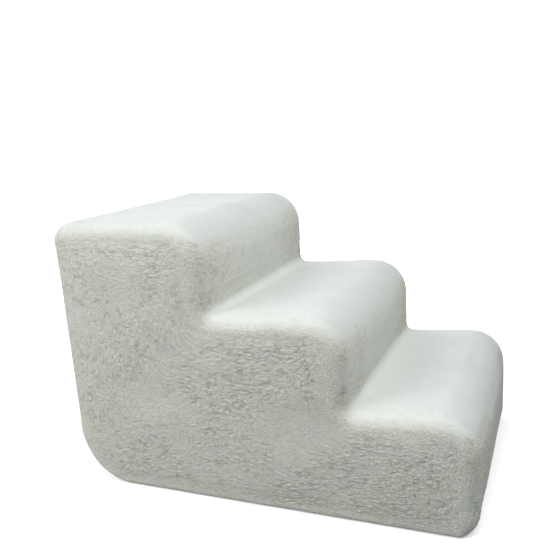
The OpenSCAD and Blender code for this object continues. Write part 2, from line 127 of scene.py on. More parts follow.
def corners_of(low: Array, part: Array) -> Iterator[tuple[Array, Array]]:
    """Gives the eight corners of each point's cell, with their weights.

    A weight is the product over the axes of the part, or of 1 less the part.

    Args:
        low: Lowest corner of each point's cell.
        part: Share of the cell that the point lies past that corner.

    Yields:
        Whole numbers of one corner for every point, and its weights.
    """
    for corner in product((0, 1), repeat=3):
        side = np.array(corner)
        yield low + side, np.prod(np.where(side == 1, part, 1.0 - part), axis=1)


def drift(points: Array, cell: float, seed: int) -> Array:
    """Smooth random vectors that change over the length of a cell.

    Each lattice corner has its own random vector, and a point takes the eased
    mix of the eight corners of its cell.

    Args:
        points: Rows of x, y and z.
        cell: Size of a lattice cell.
        seed: Number of the pattern.

    Returns:
        Vectors with parts from -1 to 1.
    """
    q = points / cell
    base = np.floor(q)
    total = np.zeros_like(q)
    for corner, weight in corners_of(base, smooth(q - base)):
        total += weight[:, None] * (hashed(corner, seed) * 2.0 - 1.0)
    return total


def clumps(points: Array, cell: float, seed: int) -> tuple[Array, Array]:
    """Distances to the nearest and second nearest of scattered centres.

    Every lattice cell holds one centre at a random place, and the 27 cells
    round a point are searched.

    Args:
        points: Rows of x, y and z.
        cell: Mean spacing of the centres.
        seed: Number of the pattern.

    Returns:
        Both distances, in cells.
    """
    q = points / cell
    base = np.floor(q)
    near = np.full(len(q), 9.0)
    second = near.copy()
    for corner in product((-1, 0, 1), repeat=3):
        at = base + np.array(corner)
        d = np.sqrt(((at + hashed(at, seed) - q) ** 2).sum(axis=1))
        second = np.minimum(second, np.maximum(near, d))
        near = np.minimum(near, d)
    return near, second


# Outline of the stairs

@dataclass(frozen=True)
class Line:
    """Points along an edge of the side view.

    Each row is x, z, the outward normal's x and z, and the share of the crown
    that the middle of the cover swells by there.
    """

    rows: Array

    def distance(self) -> Array:
        """Returns the distance of each point from the start."""
        step = np.hypot(np.diff(self.rows[:, 0]), np.diff(self.rows[:, 1]))
        return np.concatenate([[0.0], np.cumsum(step)])

    def length(self) -> float:
        """Returns the length of the line."""
        return float(self.distance()[-1])

    def read(self, key: Array, where: Array) -> Array:
        """Reads rows between those of the line.

        Args:
            key: A number for each row of the line, such as its distance.
            where: Values of that number to read at.

        Returns:
            Rows like those of the line, with unit normals.
        """
        order = np.argsort(key, kind="stable")
        own = self.rows[order]
        rows = stacked(*(np.interp(where, key[order], own[:, k]) for k in range(5)))
        rows[:, 2:4] /= np.linalg.norm(rows[:, 2:4], axis=1, keepdims=True)
        return rows

    def at(self, shares: Array) -> Array:
        """Returns rows at shares of the line's length."""
        far = self.distance()
        return self.read(far, shares * far[-1])

    def by_slant(self, slants: Array) -> Array:
        """Returns rows where x - z has the given values."""
        return self.read(self.rows[:, 0] - self.rows[:, 1], slants)


def joined(*parts: Array) -> Line:
    """Joins stretches of outline rows into one line, without doubled points."""
    rows = np.concatenate(parts)
    step = np.hypot(np.diff(rows[:, 0]), np.diff(rows[:, 1]))
    return Line(rows[np.concatenate([[True], step > 1e-9])])


def bow(
    x: float, z: float, r: float, start: float, end: float, share: float = 0.0, turn: float = 1.0
) -> Array:
    """Points on an arc in the side view.

    A point is the centre plus r times the cosine and sine of its angle. Its
    normal points away from the centre, or to it where the arc is hollow.

    Args:
        x: Centre's x.
        z: Centre's z.
        r: Radius.
        start: First angle in degrees.
        end: Last angle in degrees.
        share: Share of the crown along the arc.
        turn: 1, or -1 where the surface faces the centre.

    Returns:
        Outline rows.
    """
    a = np.radians(np.linspace(start, end, max(3, int(abs(end - start) / 3.0) + 1)))
    out, up = np.cos(a), np.sin(a)
    return stacked(x + r * out, z + r * up, turn * out, turn * up, share)


def flat_run(start: Pair, end: Pair, normal: Pair, shares: Pair) -> Array:
    """Points on a straight stretch in the side view.

    Args:
        start: First x and z.
        end: Last x and z.
        normal: Outward normal's x and z.
        shares: Shares of the crown at the two ends, eased between them.

    Returns:
        Outline rows.
    """
    t = np.linspace(0.0, 1.0, 24)
    x = start[0] + (end[0] - start[0]) * t
    z = start[1] + (end[1] - start[1]) * t
    share = shares[0] + (shares[1] - shares[0]) * smooth(t)
    return stacked(x, z, *normal, share)


@dataclass(frozen=True)
class StairForm:
    """Smooth form of the covered stairs, which all cover panels share.

    The steps are numbered 0, 1 and 2 from the lowest up.
    """

    back_x: float
    front_x: float
    top_z: float
    side_y: float
    crown: float = 3 * MM
    sewn: float = 1.4 * MM
    low_z: float = 162 * MM
    mid_rise: float = 120 * MM
    top_depth: float = 240 * MM
    mid_depth: float = 197 * MM
    nose_r: float = 53 * MM
    hollow_r: float = 12 * MM
    rear_foot_r: float = 88 * MM
    rear_top_r: float = 26 * MM
    front_foot_r: float = 26 * MM
    side_edge_r: float = 24 * MM
    rear_edge_r: float = 12 * MM
    hem_r: float = 7 * MM
    cover_t: float = 8 * MM
    base_t: float = 3 * MM
    play: float = 0.4 * MM
    seam: float = 0.5 * MM
    seam_angle: float = 45.0
    tip_angle: float = 10.0
    back_hem: float = 6 * MM
    sag: float = 6 * MM

    @classmethod
    def from_frame(cls) -> "StairForm":
        """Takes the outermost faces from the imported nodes' boxes."""
        crown = cls.crown
        return cls(
            back_x=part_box("back_flap")[0].x,
            front_x=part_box("lower_step_strip")[1].x - crown,
            top_z=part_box("upper_step_strip")[1].z - crown,
            side_y=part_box("right_side_panel")[1].y - crown,
        )

    @property
    def noses(self) -> tuple[Pair, ...]:
        """Riser's x and tread's z of each step."""
        top_x = self.back_x + self.top_depth
        middle = (top_x + self.mid_depth, self.low_z + self.mid_rise)
        return (self.front_x, self.low_z), middle, (top_x, self.top_z)

    @property
    def hollows(self) -> tuple[Pair, ...]:
        """Riser's x and tread's z of the inner corners behind steps 0 and 1."""
        (_, low_z), (mid_x, mid_z), (top_x, _) = self.noses
        return (mid_x, low_z), (top_x, mid_z)

    @property
    def flat_y(self) -> float:
        """Half the flat width between the rounded side edges."""
        return self.side_y - self.side_edge_r

    @property
    def seam_turn(self) -> float:
        """Angle of the seams round a side edge, in radians."""
        return math.radians(self.seam_angle)

    def front_foot(self, start: float, end: float) -> Array:
        """Edge where the lowest riser meets the floor."""
        r = self.front_foot_r
        return bow(self.front_x - r, r, r, start, end)

    def rear_foot(self, start: float, end: float) -> Array:
        """Big rounded corner under the back."""
        r = self.rear_foot_r
        return bow(self.back_x + r, r, r, start, end)

    def rear_top(self, start: float, end: float) -> Array:
        """Edge where the top tread meets the back."""
        r = self.rear_top_r
        return bow(self.back_x + r, self.top_z - r, r, start, end)

    def nose(self, step: int) -> Array:
        """Rounded front edge of a step."""
        (x, z), r = self.noses[step], self.nose_r
        return bow(x - r, z - r, r, 0.0, 90.0, 1.0)

    def hollow(self, step: int, start: float, end: float) -> Array:
        """Rounded inner corner where a step's tread meets the next riser."""
        (x, z), r = self.hollows[step], self.hollow_r
        return bow(x + r, z - self.sag + r, r, start, end, turn=-1.0)

    def riser(self, step: int) -> Array:
        """Straight face of a step, from the foot or hollow up to its nose.

        Args:
            step: Number of the step.

        Returns:
            Outline rows.
        """
        x, high = self.noses[step]
        low = self.hollows[step - 1][1] - self.sag + self.hollow_r if step else self.front_foot_r
        return flat_run((x, low), (x, high - self.nose_r), (1.0, 0.0), (0.0, 1.0))

    def tread(self, step: int) -> Array:
        """Top of a step, from its nose to the hollow or edge behind it.

        It sinks by the sag towards a hollow, eased at both ends.

        Args:
            step: Number of the step.

        Returns:
            Outline rows.
        """
        x, z = self.noses[step]
        sag = self.sag if step < 2 else 0.0
        end = self.hollows[step][0] + self.hollow_r if step < 2 else self.back_x + self.rear_top_r
        rows = flat_run((x - self.nose_r, z), (end, z), (0.0, 1.0), (1.0, 0.0))
        rows[:, 1] -= sag * (1.0 - rows[:, 4])
        return rows

    def flight(self) -> list[Array]:
        """Noses, treads and hollows in turn, from the lowest nose to the top one."""
        parts = [(self.nose(k), self.tread(k), self.hollow(k, 270.0, 180.0)) for k in (0, 1)]
        return [*parts[0], *parts[1], self.nose(2)]

    def strip(self, step: int) -> Line:
        """Line of the strip over a step, from the seam below it to that above.

        The lowest strip starts on the floor, and the top one ends on the back.

        Args:
            step: Number of the step.

        Returns:
            The line.
        """
        start = self.hollow(step - 1, 225.0, 180.0) if step else self.front_foot(-90.0, 0.0)
        parts = [start, self.riser(step), self.nose(step), self.tread(step)]
        if step < 2:
            return joined(*parts, self.hollow(step, 270.0, 225.0))
        x, low = self.back_x, self.top_z - self.rear_top_r
        back = flat_run((x, low), (x, low - self.back_hem), (-1.0, 0.0), (0.0, 0.0))
        return joined(*parts, self.rear_top(90.0, 180.0), back)

    def stair_chain(self) -> Line:
        """Side panel's edge over the steps, from the front foot to the back."""
        reach = self.seam_angle - self.tip_angle
        foot, top = self.front_foot(-reach, 0.0), self.rear_top(90.0, 90.0 + reach)
        return joined(foot, *self.flight(), top)

    def floor_chain(self) -> Line:
        """Side panel's edge along the floor and up the back."""
        reach = self.seam_angle + self.tip_angle
        front, back = self.front_foot(-reach, -90.0), self.rear_top(180.0, 90.0 + reach)
        return joined(front, self.rear_foot(270.0, 180.0), back)

    def rounding(self, r: Array, depth: float, turn: Array) -> Array:
        """How far a layer lies inside the outline: r - (r - depth) cos(turn)."""
        return r - (r - depth) * np.cos(turn)

    def layer_y(self, depth: float, turn: Array) -> Array:
        """Distance of a layer from the middle: flat_y + (r - depth) sin(turn)."""
        return self.flat_y + (self.side_edge_r - depth) * np.sin(turn)

    def drawn_in(
        self, rows: Array, depth: float, turn: Array, hem: bool = False
    ) -> tuple[Array, Array]:
        """Draws outline points in, for a layer at an angle round the side edge.

        The angle is 0 on a tread or riser and a right angle on the side. Faces
        towards the front and up are drawn in by the side edge's rounding, the
        back by the rear edge's, and the floor by the small hem's.

        Args:
            rows: Outline rows, broadcast against turn.
            depth: Depth of the layer under the face of the cover.
            turn: Angle round the side edge, in radians.
            hem: Whether the edge on the floor is rounded.

        Returns:
            The x and z of every point.
        """
        x, z, nx, nz = (rows[..., k] for k in range(4))
        r = np.where(nx > 0.0, self.side_edge_r, self.rear_edge_r)
        under = np.clip((turn - self.seam_turn) / (RIGHT - self.seam_turn), 0.0, 1.0) * RIGHT
        floor_in = self.hem_r * (1.0 - np.cos(under)) if hem else 0.0
        floor_in = floor_in + (self.base_t if depth > 0.0 else 0.0)
        inset_x = self.rounding(r, depth, turn) * nx
        inset_z = np.where(nz > 0.0, self.rounding(self.side_edge_r, depth, turn), floor_in) * nz
        return x - inset_x, z - inset_z


# Meshes

def grid_quads(rows: int, cols: int, start: int = 0, flip: bool = False) -> Array:
    """Corner numbers of the cells of a grid.

    Args:
        rows: Rows of points.
        cols: Points in a row.
        start: Number of the first point.
        flip: Whether they are turned over.

    Returns:
        One row of four point numbers for each cell.
    """
    i, j = np.meshgrid(np.arange(rows - 1), np.arange(cols - 1), indexing="ij")
    a = (start + i * cols + j).ravel()
    quads = stacked(a, a + 1, a + cols + 1, a + cols)
    return quads[:, ::-1] if flip else quads


def grid_rim(rows: int, cols: int, start: int = 0) -> Array:
    """Goes round the edge of a grid.

    Args:
        rows: Rows of points.
        cols: Points in a row.
        start: Number of the first point.

    Returns:
        Point numbers in order, each once.
    """
    top = np.arange(cols)
    right = np.arange(1, rows) * cols + cols - 1
    bottom = (rows - 1) * cols + np.arange(cols - 2, -1, -1)
    left = np.arange(rows - 2, 0, -1) * cols
    return start + np.concatenate([top, right, bottom, left])


def loop_quads(lower: Array, upper: Array, flip: bool = False) -> Array:
    """Cells between two closed loops that have as many points."""
    quads = stacked(lower, np.roll(lower, -1), np.roll(upper, -1), upper)
    return quads[:, ::-1] if flip else quads


def hem_faces(fine: Array, coarse: Array, step: int, flip: bool = False) -> Array:
    """Faces between a fine closed loop and a coarse one.

    The coarse loop has one point for each step of the fine one, so a face has
    step + 1 points of the fine loop and two of the coarse.

    Args:
        fine: Point numbers of the fine loop.
        coarse: Point numbers of the coarse loop.
        step: Fine steps to a coarse one.
        flip: Whether they are turned over.

    Returns:
        One row of point numbers for each face.
    """
    m = np.arange(len(coarse))
    along = fine[(m[:, None] * step + np.arange(step + 1)) % len(fine)]
    faces = np.concatenate([along, np.roll(coarse, -1)[:, None], coarse[:, None]], axis=1)
    return faces[:, ::-1] if flip else faces


def tube_faces(rings: int, count: int, flip: bool = False) -> list[Array]:
    """Faces of a closed tube of rings, whose points follow ring after ring.

    Args:
        rings: Number of rings.
        count: Points in a ring.
        flip: Whether they are turned over.

    Returns:
        The walls of four points each, and the two ends.
    """
    loop = np.arange(count)
    walls = [loop_quads(k * count + loop, (k + 1) * count + loop) for k in range(rings - 1)]
    faces = [np.concatenate(walls), np.stack([loop[::-1], (rings - 1) * count + loop])]
    return [f[:, ::-1] for f in faces] if flip else faces


def repeated(faces: list[Array], copies: int, size: int, start: int = 0) -> list[Array]:
    """Repeats a shape's faces for copies of so many points, from a first point on."""
    first = start + size * np.arange(copies)[:, None, None]
    return [(first + f).reshape(-1, f.shape[1]) for f in faces]


def read_all(
    items: bpy.types.bpy_prop_collection, name: str, width: int = 1, kind: type = np.int32
) -> Array:
    """Reads one property of all items.

    Args:
        items: Blender's collection.
        name: Name of the property.
        width: How many numbers an item has.
        kind: Kind of number.

    Returns:
        One number for each item, or one row.
    """
    values = np.empty(width * len(items), kind)
    items.foreach_get(name, values)
    return values.reshape(-1, width) if width > 1 else values


def make_mesh(
    name: str, points: Array, faces: list[Array], sharp: float = 0.0, soft: bool = True
) -> Piece:
    """Makes a mesh object from points and lists of faces.

    Args:
        name: Name of the object.
        points: Rows of x, y and z, of any leading shape.
        faces: Arrays of point numbers, each with one face to a row.
        sharp: Angle in degrees past which an edge is sharp, or 0 for none.
        soft: Whether the faces are shaded smooth.

    Returns:
        The object, in the scene's collection.
    """
    points = np.asarray(points, np.float32).reshape(-1, 3)
    loops = np.concatenate([f.ravel() for f in faces]).astype(np.int32)
    totals = np.concatenate([np.full(len(f), f.shape[1]) for f in faces]).astype(np.int32)
    mesh = bpy.data.meshes.new(name)
    mesh.vertices.add(len(points))
    mesh.vertices.foreach_set("co", points.ravel())
    mesh.loops.add(len(loops))
    mesh.loops.foreach_set("vertex_index", loops)
    mesh.polygons.add(len(totals))
    mesh.polygons.foreach_set("loop_start", (np.cumsum(totals) - totals).astype(np.int32))
    mesh.polygons.foreach_set("use_smooth", np.full(len(totals), soft))
    mesh.update(calc_edges=True)
    mesh.validate()
    if sharp:
        mesh.set_sharp_from_angle(angle=math.radians(sharp))
    piece = bpy.data.objects.new(name, mesh)
    bpy.context.scene.collection.objects.link(piece)
    return piece


def evaluated(piece: Piece) -> bpy.types.Mesh:
    """Makes a mesh of a piece with its modifiers applied."""
    return bpy.data.meshes.new_from_object(
        piece.evaluated_get(bpy.context.evaluated_depsgraph_get())
    )


def set_attribute(piece: Piece, name: str, values: Array) -> None:
    """Stores a number for each point under a name.

    Args:
        piece: The piece.
        name: Name of the attribute.
        values: Numbers of the first points. The rest get 1.
    """
    filled = np.ones(len(piece.data.vertices), np.float32)
    filled[:len(values)] = values
    piece.data.attributes.new(name, "FLOAT", "POINT").data.foreach_set("value", filled)


def mark_rim(piece: Piece, outer: int) -> None:
    """Marks the rim of an outer face as sharp.

    The face then shades as one with its neighbour over the seam. An edge
    belongs to the rim when one of its two faces has a point beyond the outer
    ones and the other has none.

    Args:
        piece: The piece, whose first points are the outer face's.
        outer: Points in the outer face.
    """
    mesh = piece.data
    sides, points = read_all(mesh.loops, "edge_index"), read_all(mesh.loops, "vertex_index")
    starts = read_all(mesh.polygons, "loop_start")
    face = np.repeat(np.arange(len(starts)), np.diff(np.append(starts, len(points))))
    beyond = np.zeros(len(starts), bool)
    np.logical_or.at(beyond, face, points >= outer)
    marks = np.zeros((len(mesh.edges), 2), bool)
    marks[sides[beyond[face]], 0] = True
    marks[sides[~beyond[face]], 1] = True
    name, stores = "sharp_edge", mesh.attributes
    store = stores.get(name) or stores.new(name, "BOOLEAN", "EDGE")
    store.data.foreach_set("value", marks.all(axis=1))


def set_uv(piece: Piece, uv: Array) -> None:
    """Gives a piece a UV map, from a pair of numbers for each point."""
    pairs = uv.astype(np.float32).reshape(-1, 2)[read_all(piece.data.loops, "vertex_index")]
    piece.data.uv_layers.new(name="UVMap").data.foreach_set("uv", pairs.ravel())


def surface_area(points: Array) -> float:
    """Adds up a grid's cells, each the cross product of two of its sides."""
    sides = np.diff(points, axis=0)[:, :-1], np.diff(points, axis=1)[:-1]
    return float(np.linalg.norm(np.cross(*sides), axis=2).sum())


# Cloth simulation

@dataclass
class Stuffing:
    """Swelling of the cover between its seams, from a cloth simulation.

    A coarse closed copy of the cover starts a little inside the form. It is
    held along the seams, in the hollows, on the floor and at the back, and
    Blender's cloth blows it up. What each point moves along its normal goes
    into a grid of boxes, from which the panels read it.
    """

    form: StairForm
    inside: float = 1.0 * MM
    voxel: float = 9 * MM
    outline_points: int = 260
    pressure: float = 4.0
    frames: int = 20
    cap: float = 2.2 * MM
    cell: float = 14 * MM
    seam_bell: float = 15.0
    hollow_bell: float = 14 * MM
    levels: int = 10
    sums: Array = field(init=False)
    shape: tuple[int, int, int] = field(init=False)
    corner: Array = field(init=False)

    def __post_init__(self) -> None:
        """Lays out the boxes and runs the simulation."""
        form = self.form
        reach = np.array([form.front_x, form.side_y, form.top_z]) + 2 * self.cell
        self.corner = np.array([form.back_x, -form.side_y, 0.0]) - 2 * self.cell
        self.shape = tuple(int(v) for v in np.ceil((reach - self.corner) / self.cell) + 1)
        self.sums = np.zeros((int(np.prod(self.shape)), 2))
        self.simulate()

    def shell(self) -> Piece:
        """Makes the coarse closed copy, remeshed to even faces.

        The outline of the side view is carried from side to side and drawn in
        round both side edges, and the two ends are closed.

        Returns:
            The copy.
        """
        form = self.form
        rear = form.rear_top(90.0, 180.0), form.rear_foot(180.0, 270.0)
        outline = joined(form.front_foot(-90.0, 0.0), *form.flight(), *rear)
        rows = outline.at(np.linspace(0.0, 1.0, self.outline_points))
        edge = np.radians([90.0, 68.0, 45.0, 22.0, 0.0])
        edge_y = form.layer_y(self.inside, edge)
        flat = np.linspace(-form.flat_y, form.flat_y, 9)[1:-1]
        turn = np.concatenate([edge, np.zeros(len(flat)), edge[::-1]])
        y = np.concatenate([-edge_y, flat, edge_y[::-1]])
        x, z = form.drawn_in(rows[None], self.inside, turn[:, None])
        faces = tube_faces(len(turn), len(rows))
        piece = make_mesh("shell", stacked(x, y[:, None], z), faces)
        remesh = piece.modifiers.new("remesh", "REMESH")
        remesh.mode = "VOXEL"
        remesh.voxel_size = self.voxel
        mesh = evaluated(piece)
        piece.modifiers.clear()
        piece.data = mesh
        return piece

    def held(self, points: Array, normals: Array) -> Array:
        """Share by which each point is held.

        It is 1 on the floor and at the back, and bells round the seam's angle
        on the side edges and round the lines of both hollows.

        Args:
            points: Rows of x, y and z.
            normals: Unit normals there.

        Returns:
            Shares from 0 to 1.
        """
        form = self.form
        angle = np.degrees(np.arcsin(np.clip(np.abs(normals[:, 1]), 0.0, 1.0)))
        total = np.exp(-((angle - form.seam_angle) / self.seam_bell) ** 2)
        for x, z in form.hollows:
            far = np.hypot(points[:, 0] - x, points[:, 2] - z)
            total = np.maximum(total, np.exp(-(far / self.hollow_bell) ** 2))
        total = np.maximum(total, 1.0 - between(4 * MM, 22 * MM, points[:, 2]))
        return np.maximum(total, between(0.5, 0.95, -normals[:, 0]))

    def simulate(self) -> None:
        """Blows the shell up, keeps what it moved, and takes it away again."""
        piece = self.shell()
        start = read_all(piece.data.vertices, "co", 3, np.float32)
        normals = read_all(piece.data.vertex_normals, "vector", 3, np.float32)
        level = np.round(self.held(start, normals) * self.levels).astype(int)
        group = piece.vertex_groups.new(name="held")
        for step in range(1, self.levels + 1):
            group.add(np.flatnonzero(level == step).tolist(), step / self.levels, "REPLACE")
        cloth = piece.modifiers.new("cloth", "CLOTH")
        cloth.settings.vertex_group_mass = group.name
        cloth.settings.use_pressure = True
        cloth.settings.uniform_pressure_force = self.pressure
        cloth.settings.effector_weights.gravity = 0.0
        cloth.point_cache.frame_start = 1
        cloth.point_cache.frame_end = self.frames
        for number in range(1, self.frames + 1):
            bpy.context.scene.frame_set(number)
        end = read_all(evaluated(piece).vertices, "co", 3, np.float32)
        moved = ((end - start) * normals).sum(axis=1)
        log.info("stuffing: %d points moved up to %.1f mm", len(moved), moved.max() / MM)
        moved = self.cap * np.tanh(moved / self.cap)
        for index, weight in self.boxes(start):
            np.add.at(self.sums, index, weight[:, None] * stacked(moved, 1.0))
        bpy.data.objects.remove(piece)
        bpy.context.scene.frame_set(1)

    def boxes(self, points: Array) -> Iterator[tuple[Array, Array]]:
        """Finds the eight box corners round each point.

        Args:
            points: Rows of x, y and z.

        Yields:
            Row numbers in the sums for one corner, and its weights.
        """
        place = (points - self.corner) / self.cell
        low = np.clip(np.floor(place).astype(int), 0, np.array(self.shape) - 2)
        for corner, weight in corners_of(low, place - low):
            yield np.ravel_multi_index(tuple(corner.T), self.shape), weight

    def at(self, points: Array) -> Array:
        """Swelling along the normals at points: the boxes' sums over their weights."""
        total = sum(weight[:, None] * self.sums[index] for index, weight in self.boxes(points))
        return total[:, 0] / np.maximum(total[:, 1], 1e-6)


# Pile of the fleece

@dataclass(frozen=True)
class Pile:
    """Wool of the cover, as a height over the smooth form, with shade painted into its colour.

    The wool stands in tufts with wandering creases between the locks. Both
    come from places in space, so they run on over a seam. They are longer
    along the stairs than up, and are combed flat on treads and noses.
    """

    stuffing: Stuffing
    tuft: float = 6.5 * MM
    curl: float = 4.2 * MM
    tuft_share: float = 0.6
    lock: float = 9.6 * MM
    depth: float = 1.75 * MM
    mean: float = 0.6
    crease: float = 0.9 * MM
    swell: float = 1.5 * MM
    swell_cell: float = 70 * MM
    wander: float = 3.2 * MM
    wander_cell: float = 17 * MM
    quiver: float = 0.45
    quiver_cell: float = 6 * MM
    patch: float = 0.42
    patch_cell: float = 42 * MM
    stretch: Point = (0.85, 1.0, 1.0)
    riser_curl: float = 0.60
    edge_curl: float = 0.42
    spill: float = 0.34
    combed: float = 0.13
    press: float = 2.0 * MM
    # Strengths of the shade painted into the wool's colour: in the low places of the tufts, in the
    # creases, and round the hollows within corner_r.
    tuft_shade: float = 0.30
    crease_shade: float = 0.46
    corner_shade: float = 0.20
    corner_r: float = 26 * MM
    seed: int = 5

    def tufts(self, p: Array, cell: float, seed: int) -> Array:
        """Height of rounded tufts: the root of second less nearest distance."""
        near, second = clumps(p, cell, self.seed + seed)
        return np.sqrt(np.clip((second - near) / 0.6, 0.0, 1.0)) * (1.0 - 0.3 * near ** 2)

    def creases(self, p: Array) -> Array:
        """Depth of the creases.

        A crease runs where a smooth random number passes through nothing, so
        it wanders, branches and closes into loops. Another slow random number
        lets it come and go. Two sizes are laid over each other.

        Args:
            p: Shifted places.

        Returns:
            Depths from 0 to 1.
        """
        total = np.zeros(len(p))
        for cell, width, seed in ((self.lock, 0.09, 11), (0.62 * self.lock, 0.12, 12)):
            level = drift(p, cell, self.seed + seed)
            line = np.exp(-(level[:, 0] / width) ** 2)
            total = np.maximum(total, line * between(-0.15, 0.35, level[:, 1]))
        return total

    def relief(self, points: Array) -> tuple[Array, Array]:
        """Finds the wool's form, at places stretched and shifted first.

        The shifts are smooth random vectors of a slow and a quick kind.

        Args:
            points: Places on the smooth form.

        Returns:
            Height of the tufts, and depth of the creases.
        """
        p = points * np.array(self.stretch)
        p = p + self.wander * drift(points, self.wander_cell, self.seed)
        p = p + self.quiver * self.wander * drift(points, self.quiver_cell, self.seed + 1)
        high = self.tuft_share * self.tufts(p, self.tuft, 2)
        high = high + (1.0 - self.tuft_share) * self.tufts(p, self.curl, 3)
        return high, self.creases(p)

    def curliness(self, points: Array, normals: Array) -> Array:
        """Share of a point in the curly fleece, 0 on a tread and 1 on a side.

        It is the angle of the surface towards the side as a share of a right
        angle. It rises to 1 over the edge to the back, and to a share on the
        risers that grows towards both side edges and over the upright edges.

        Args:
            points: Places on the smooth form.
            normals: Outward unit normals there.

        Returns:
            Shares from 0 to 1.
        """
        side = np.arcsin(np.clip(np.abs(normals[:, 1]), 0.0, 1.0)) / RIGHT
        upright = between(0.70, 1.0, np.hypot(normals[:, 0], normals[:, 1]))
        near = self.riser_curl + self.edge_curl * between(0.06, 0.175, np.abs(points[:, 1]))
        riser = np.where(normals[:, 0] > 0.0, near, 1.0) * upright
        return np.maximum(np.maximum(side, riser), between(0.2, 0.95, -normals[:, 0]))

    def corner_painted_shade(self, points: Array, normals: Array) -> Array:
        """Painted shade of the wool in the hollows: a bell round each inner corner.

        Args:
            points: Places on the smooth form.
            normals: Outward unit normals there.

        Returns:
            Amounts of painted shade from 0, fuller on the risers than on the sides.
        """
        total = np.zeros(len(points))
        for x, z in self.stuffing.form.hollows:
            far = np.hypot(points[:, 0] - x, 0.75 * (points[:, 2] - z)) / self.corner_r
            total = np.maximum(total, np.exp(-far ** 2))
        return self.corner_shade * total * (0.15 + 0.85 * between(0.3, 0.9, normals[:, 0]))

    def strength(self, points: Array, curly: Array, ramp: Array | float) -> Array:
        """Share of the full depth that the pile has at each point.

        It follows the curliness, spills a little over the side edges onto the
        treads and noses, and is flatter in slow random patches.

        Args:
            points: Places on the smooth form.
            curly: Curliness there.
            ramp: Share that dies away towards a side panel's edges.

        Returns:
            Shares from 0 to 1.
        """
        spill = between(0.150, 0.178, np.abs(points[:, 1])) * self.spill
        most = np.maximum(between(0.3, 0.97, curly) * (0.45 + 0.55 * ramp), spill)
        slow = drift(points * np.array([0.7, 1.0, 1.0]), self.patch_cell, self.seed + 5)[:, 0]
        return np.maximum(most, self.combed) * (1.0 - self.patch * between(0.05, 0.5, slow))

    def raised(
        self, points: Array, normals: Array, dents: tuple[Point, ...] = (),
        ramp: Array | float = 1.0,
    ) -> tuple[Array, Array, Array]:
        """Lifts smooth points to the top of the pile.

        A point moves along its normal by the depth times its strength times
        the height of the tufts over their mean, less the creases, and by a
        slow swell and the stuffing's. Shade is painted into its colour in the
        low places of the tufts, in the creases and round the hollows.

        Args:
            points: Places on the smooth form.
            normals: Outward unit normals there.
            dents: The x, z and radius of pressed places on a side.
            ramp: Share that dies away towards a side panel's edges.

        Returns:
            The raised points, each one's brightness from 0 to 1 after the
            painted shade, and its curliness.
        """
        curly = self.curliness(points, normals)
        pressed = np.zeros(len(points))
        for x, z, r in dents:
            far = np.hypot((points[:, 0] - x) / (1.35 * r), (points[:, 2] - z) / r)
            pressed = np.maximum(pressed, 1.0 - between(0.3, 1.0, far))
        pressed = pressed * between(0.85, 1.0, curly)
        power = self.strength(points, curly, ramp) * (1.0 - 0.6 * pressed)
        high, crease = self.relief(points)
        slow = drift(points, self.swell_cell, self.seed + 6)[:, 0]
        lift = power * (self.depth * (high - self.mean) - self.crease * crease)
        lift = lift + self.swell * slow * between(0.2, 0.9, power) - self.press * pressed
        lift = lift + self.stuffing.at(points)
        moved = points + normals * lift[:, None]
        moved[:, 2] = np.maximum(moved[:, 2], 0.0)
        # Painted shade: the low places of the tufts, the creases and the hollows are darkened in
        # the colour.
        low = np.clip(0.75 - high, 0.0, 1.0)
        painted_shade = power * (self.tuft_shade * low + self.crease_shade * crease)
        painted_shade = painted_shade + self.corner_painted_shade(points, normals)
        return moved, np.clip(1.0 - painted_shade, 0.0, 1.0), curly


# Materials

class Slot(Enum):
    """Finishes of the record, and two beside them for parts of a piece."""

    FOAM = "foam"
    SIDE = "side_fleece"
    TREAD = "tread_fleece"
    BASE = "base_cloth"
    TAPE = "zip_tape"
    TEETH = "zip_teeth"
    METAL = "zip_metal"
    DOTS = "base_dots"
    THREAD = "thread"


def socket_kind(value: object) -> str:
    """Blender's kind of socket for a number, a vector or a colour."""
    return "NodeSocket" + {1: "Float", 3: "Vector", 4: "Color"}[np.size(value)]


def new_group(
    name: str, inputs: dict[str, object], outputs: dict[str, object]
) -> Tree:
    """Makes an empty shader node group with named sockets.

    Args:
        name: Name of the group.
        inputs: Start value of each input, by name.
        outputs: A value of the kind of each output, by name.

    Returns:
        The group, with its input and output nodes.
    """
    tree = bpy.data.node_groups.new(name, "ShaderNodeTree")
    for label, value in inputs.items():
        kind = socket_kind(value)
        socket = tree.interface.new_socket(label, in_out="INPUT", socket_type=kind)
        socket.default_value = value
    for label, value in outputs.items():
        tree.interface.new_socket(label, in_out="OUTPUT", socket_type=socket_kind(value))
    tree.nodes.new("NodeGroupInput").name = "in"
    tree.nodes.new("NodeGroupOutput").name = "out"
    return tree


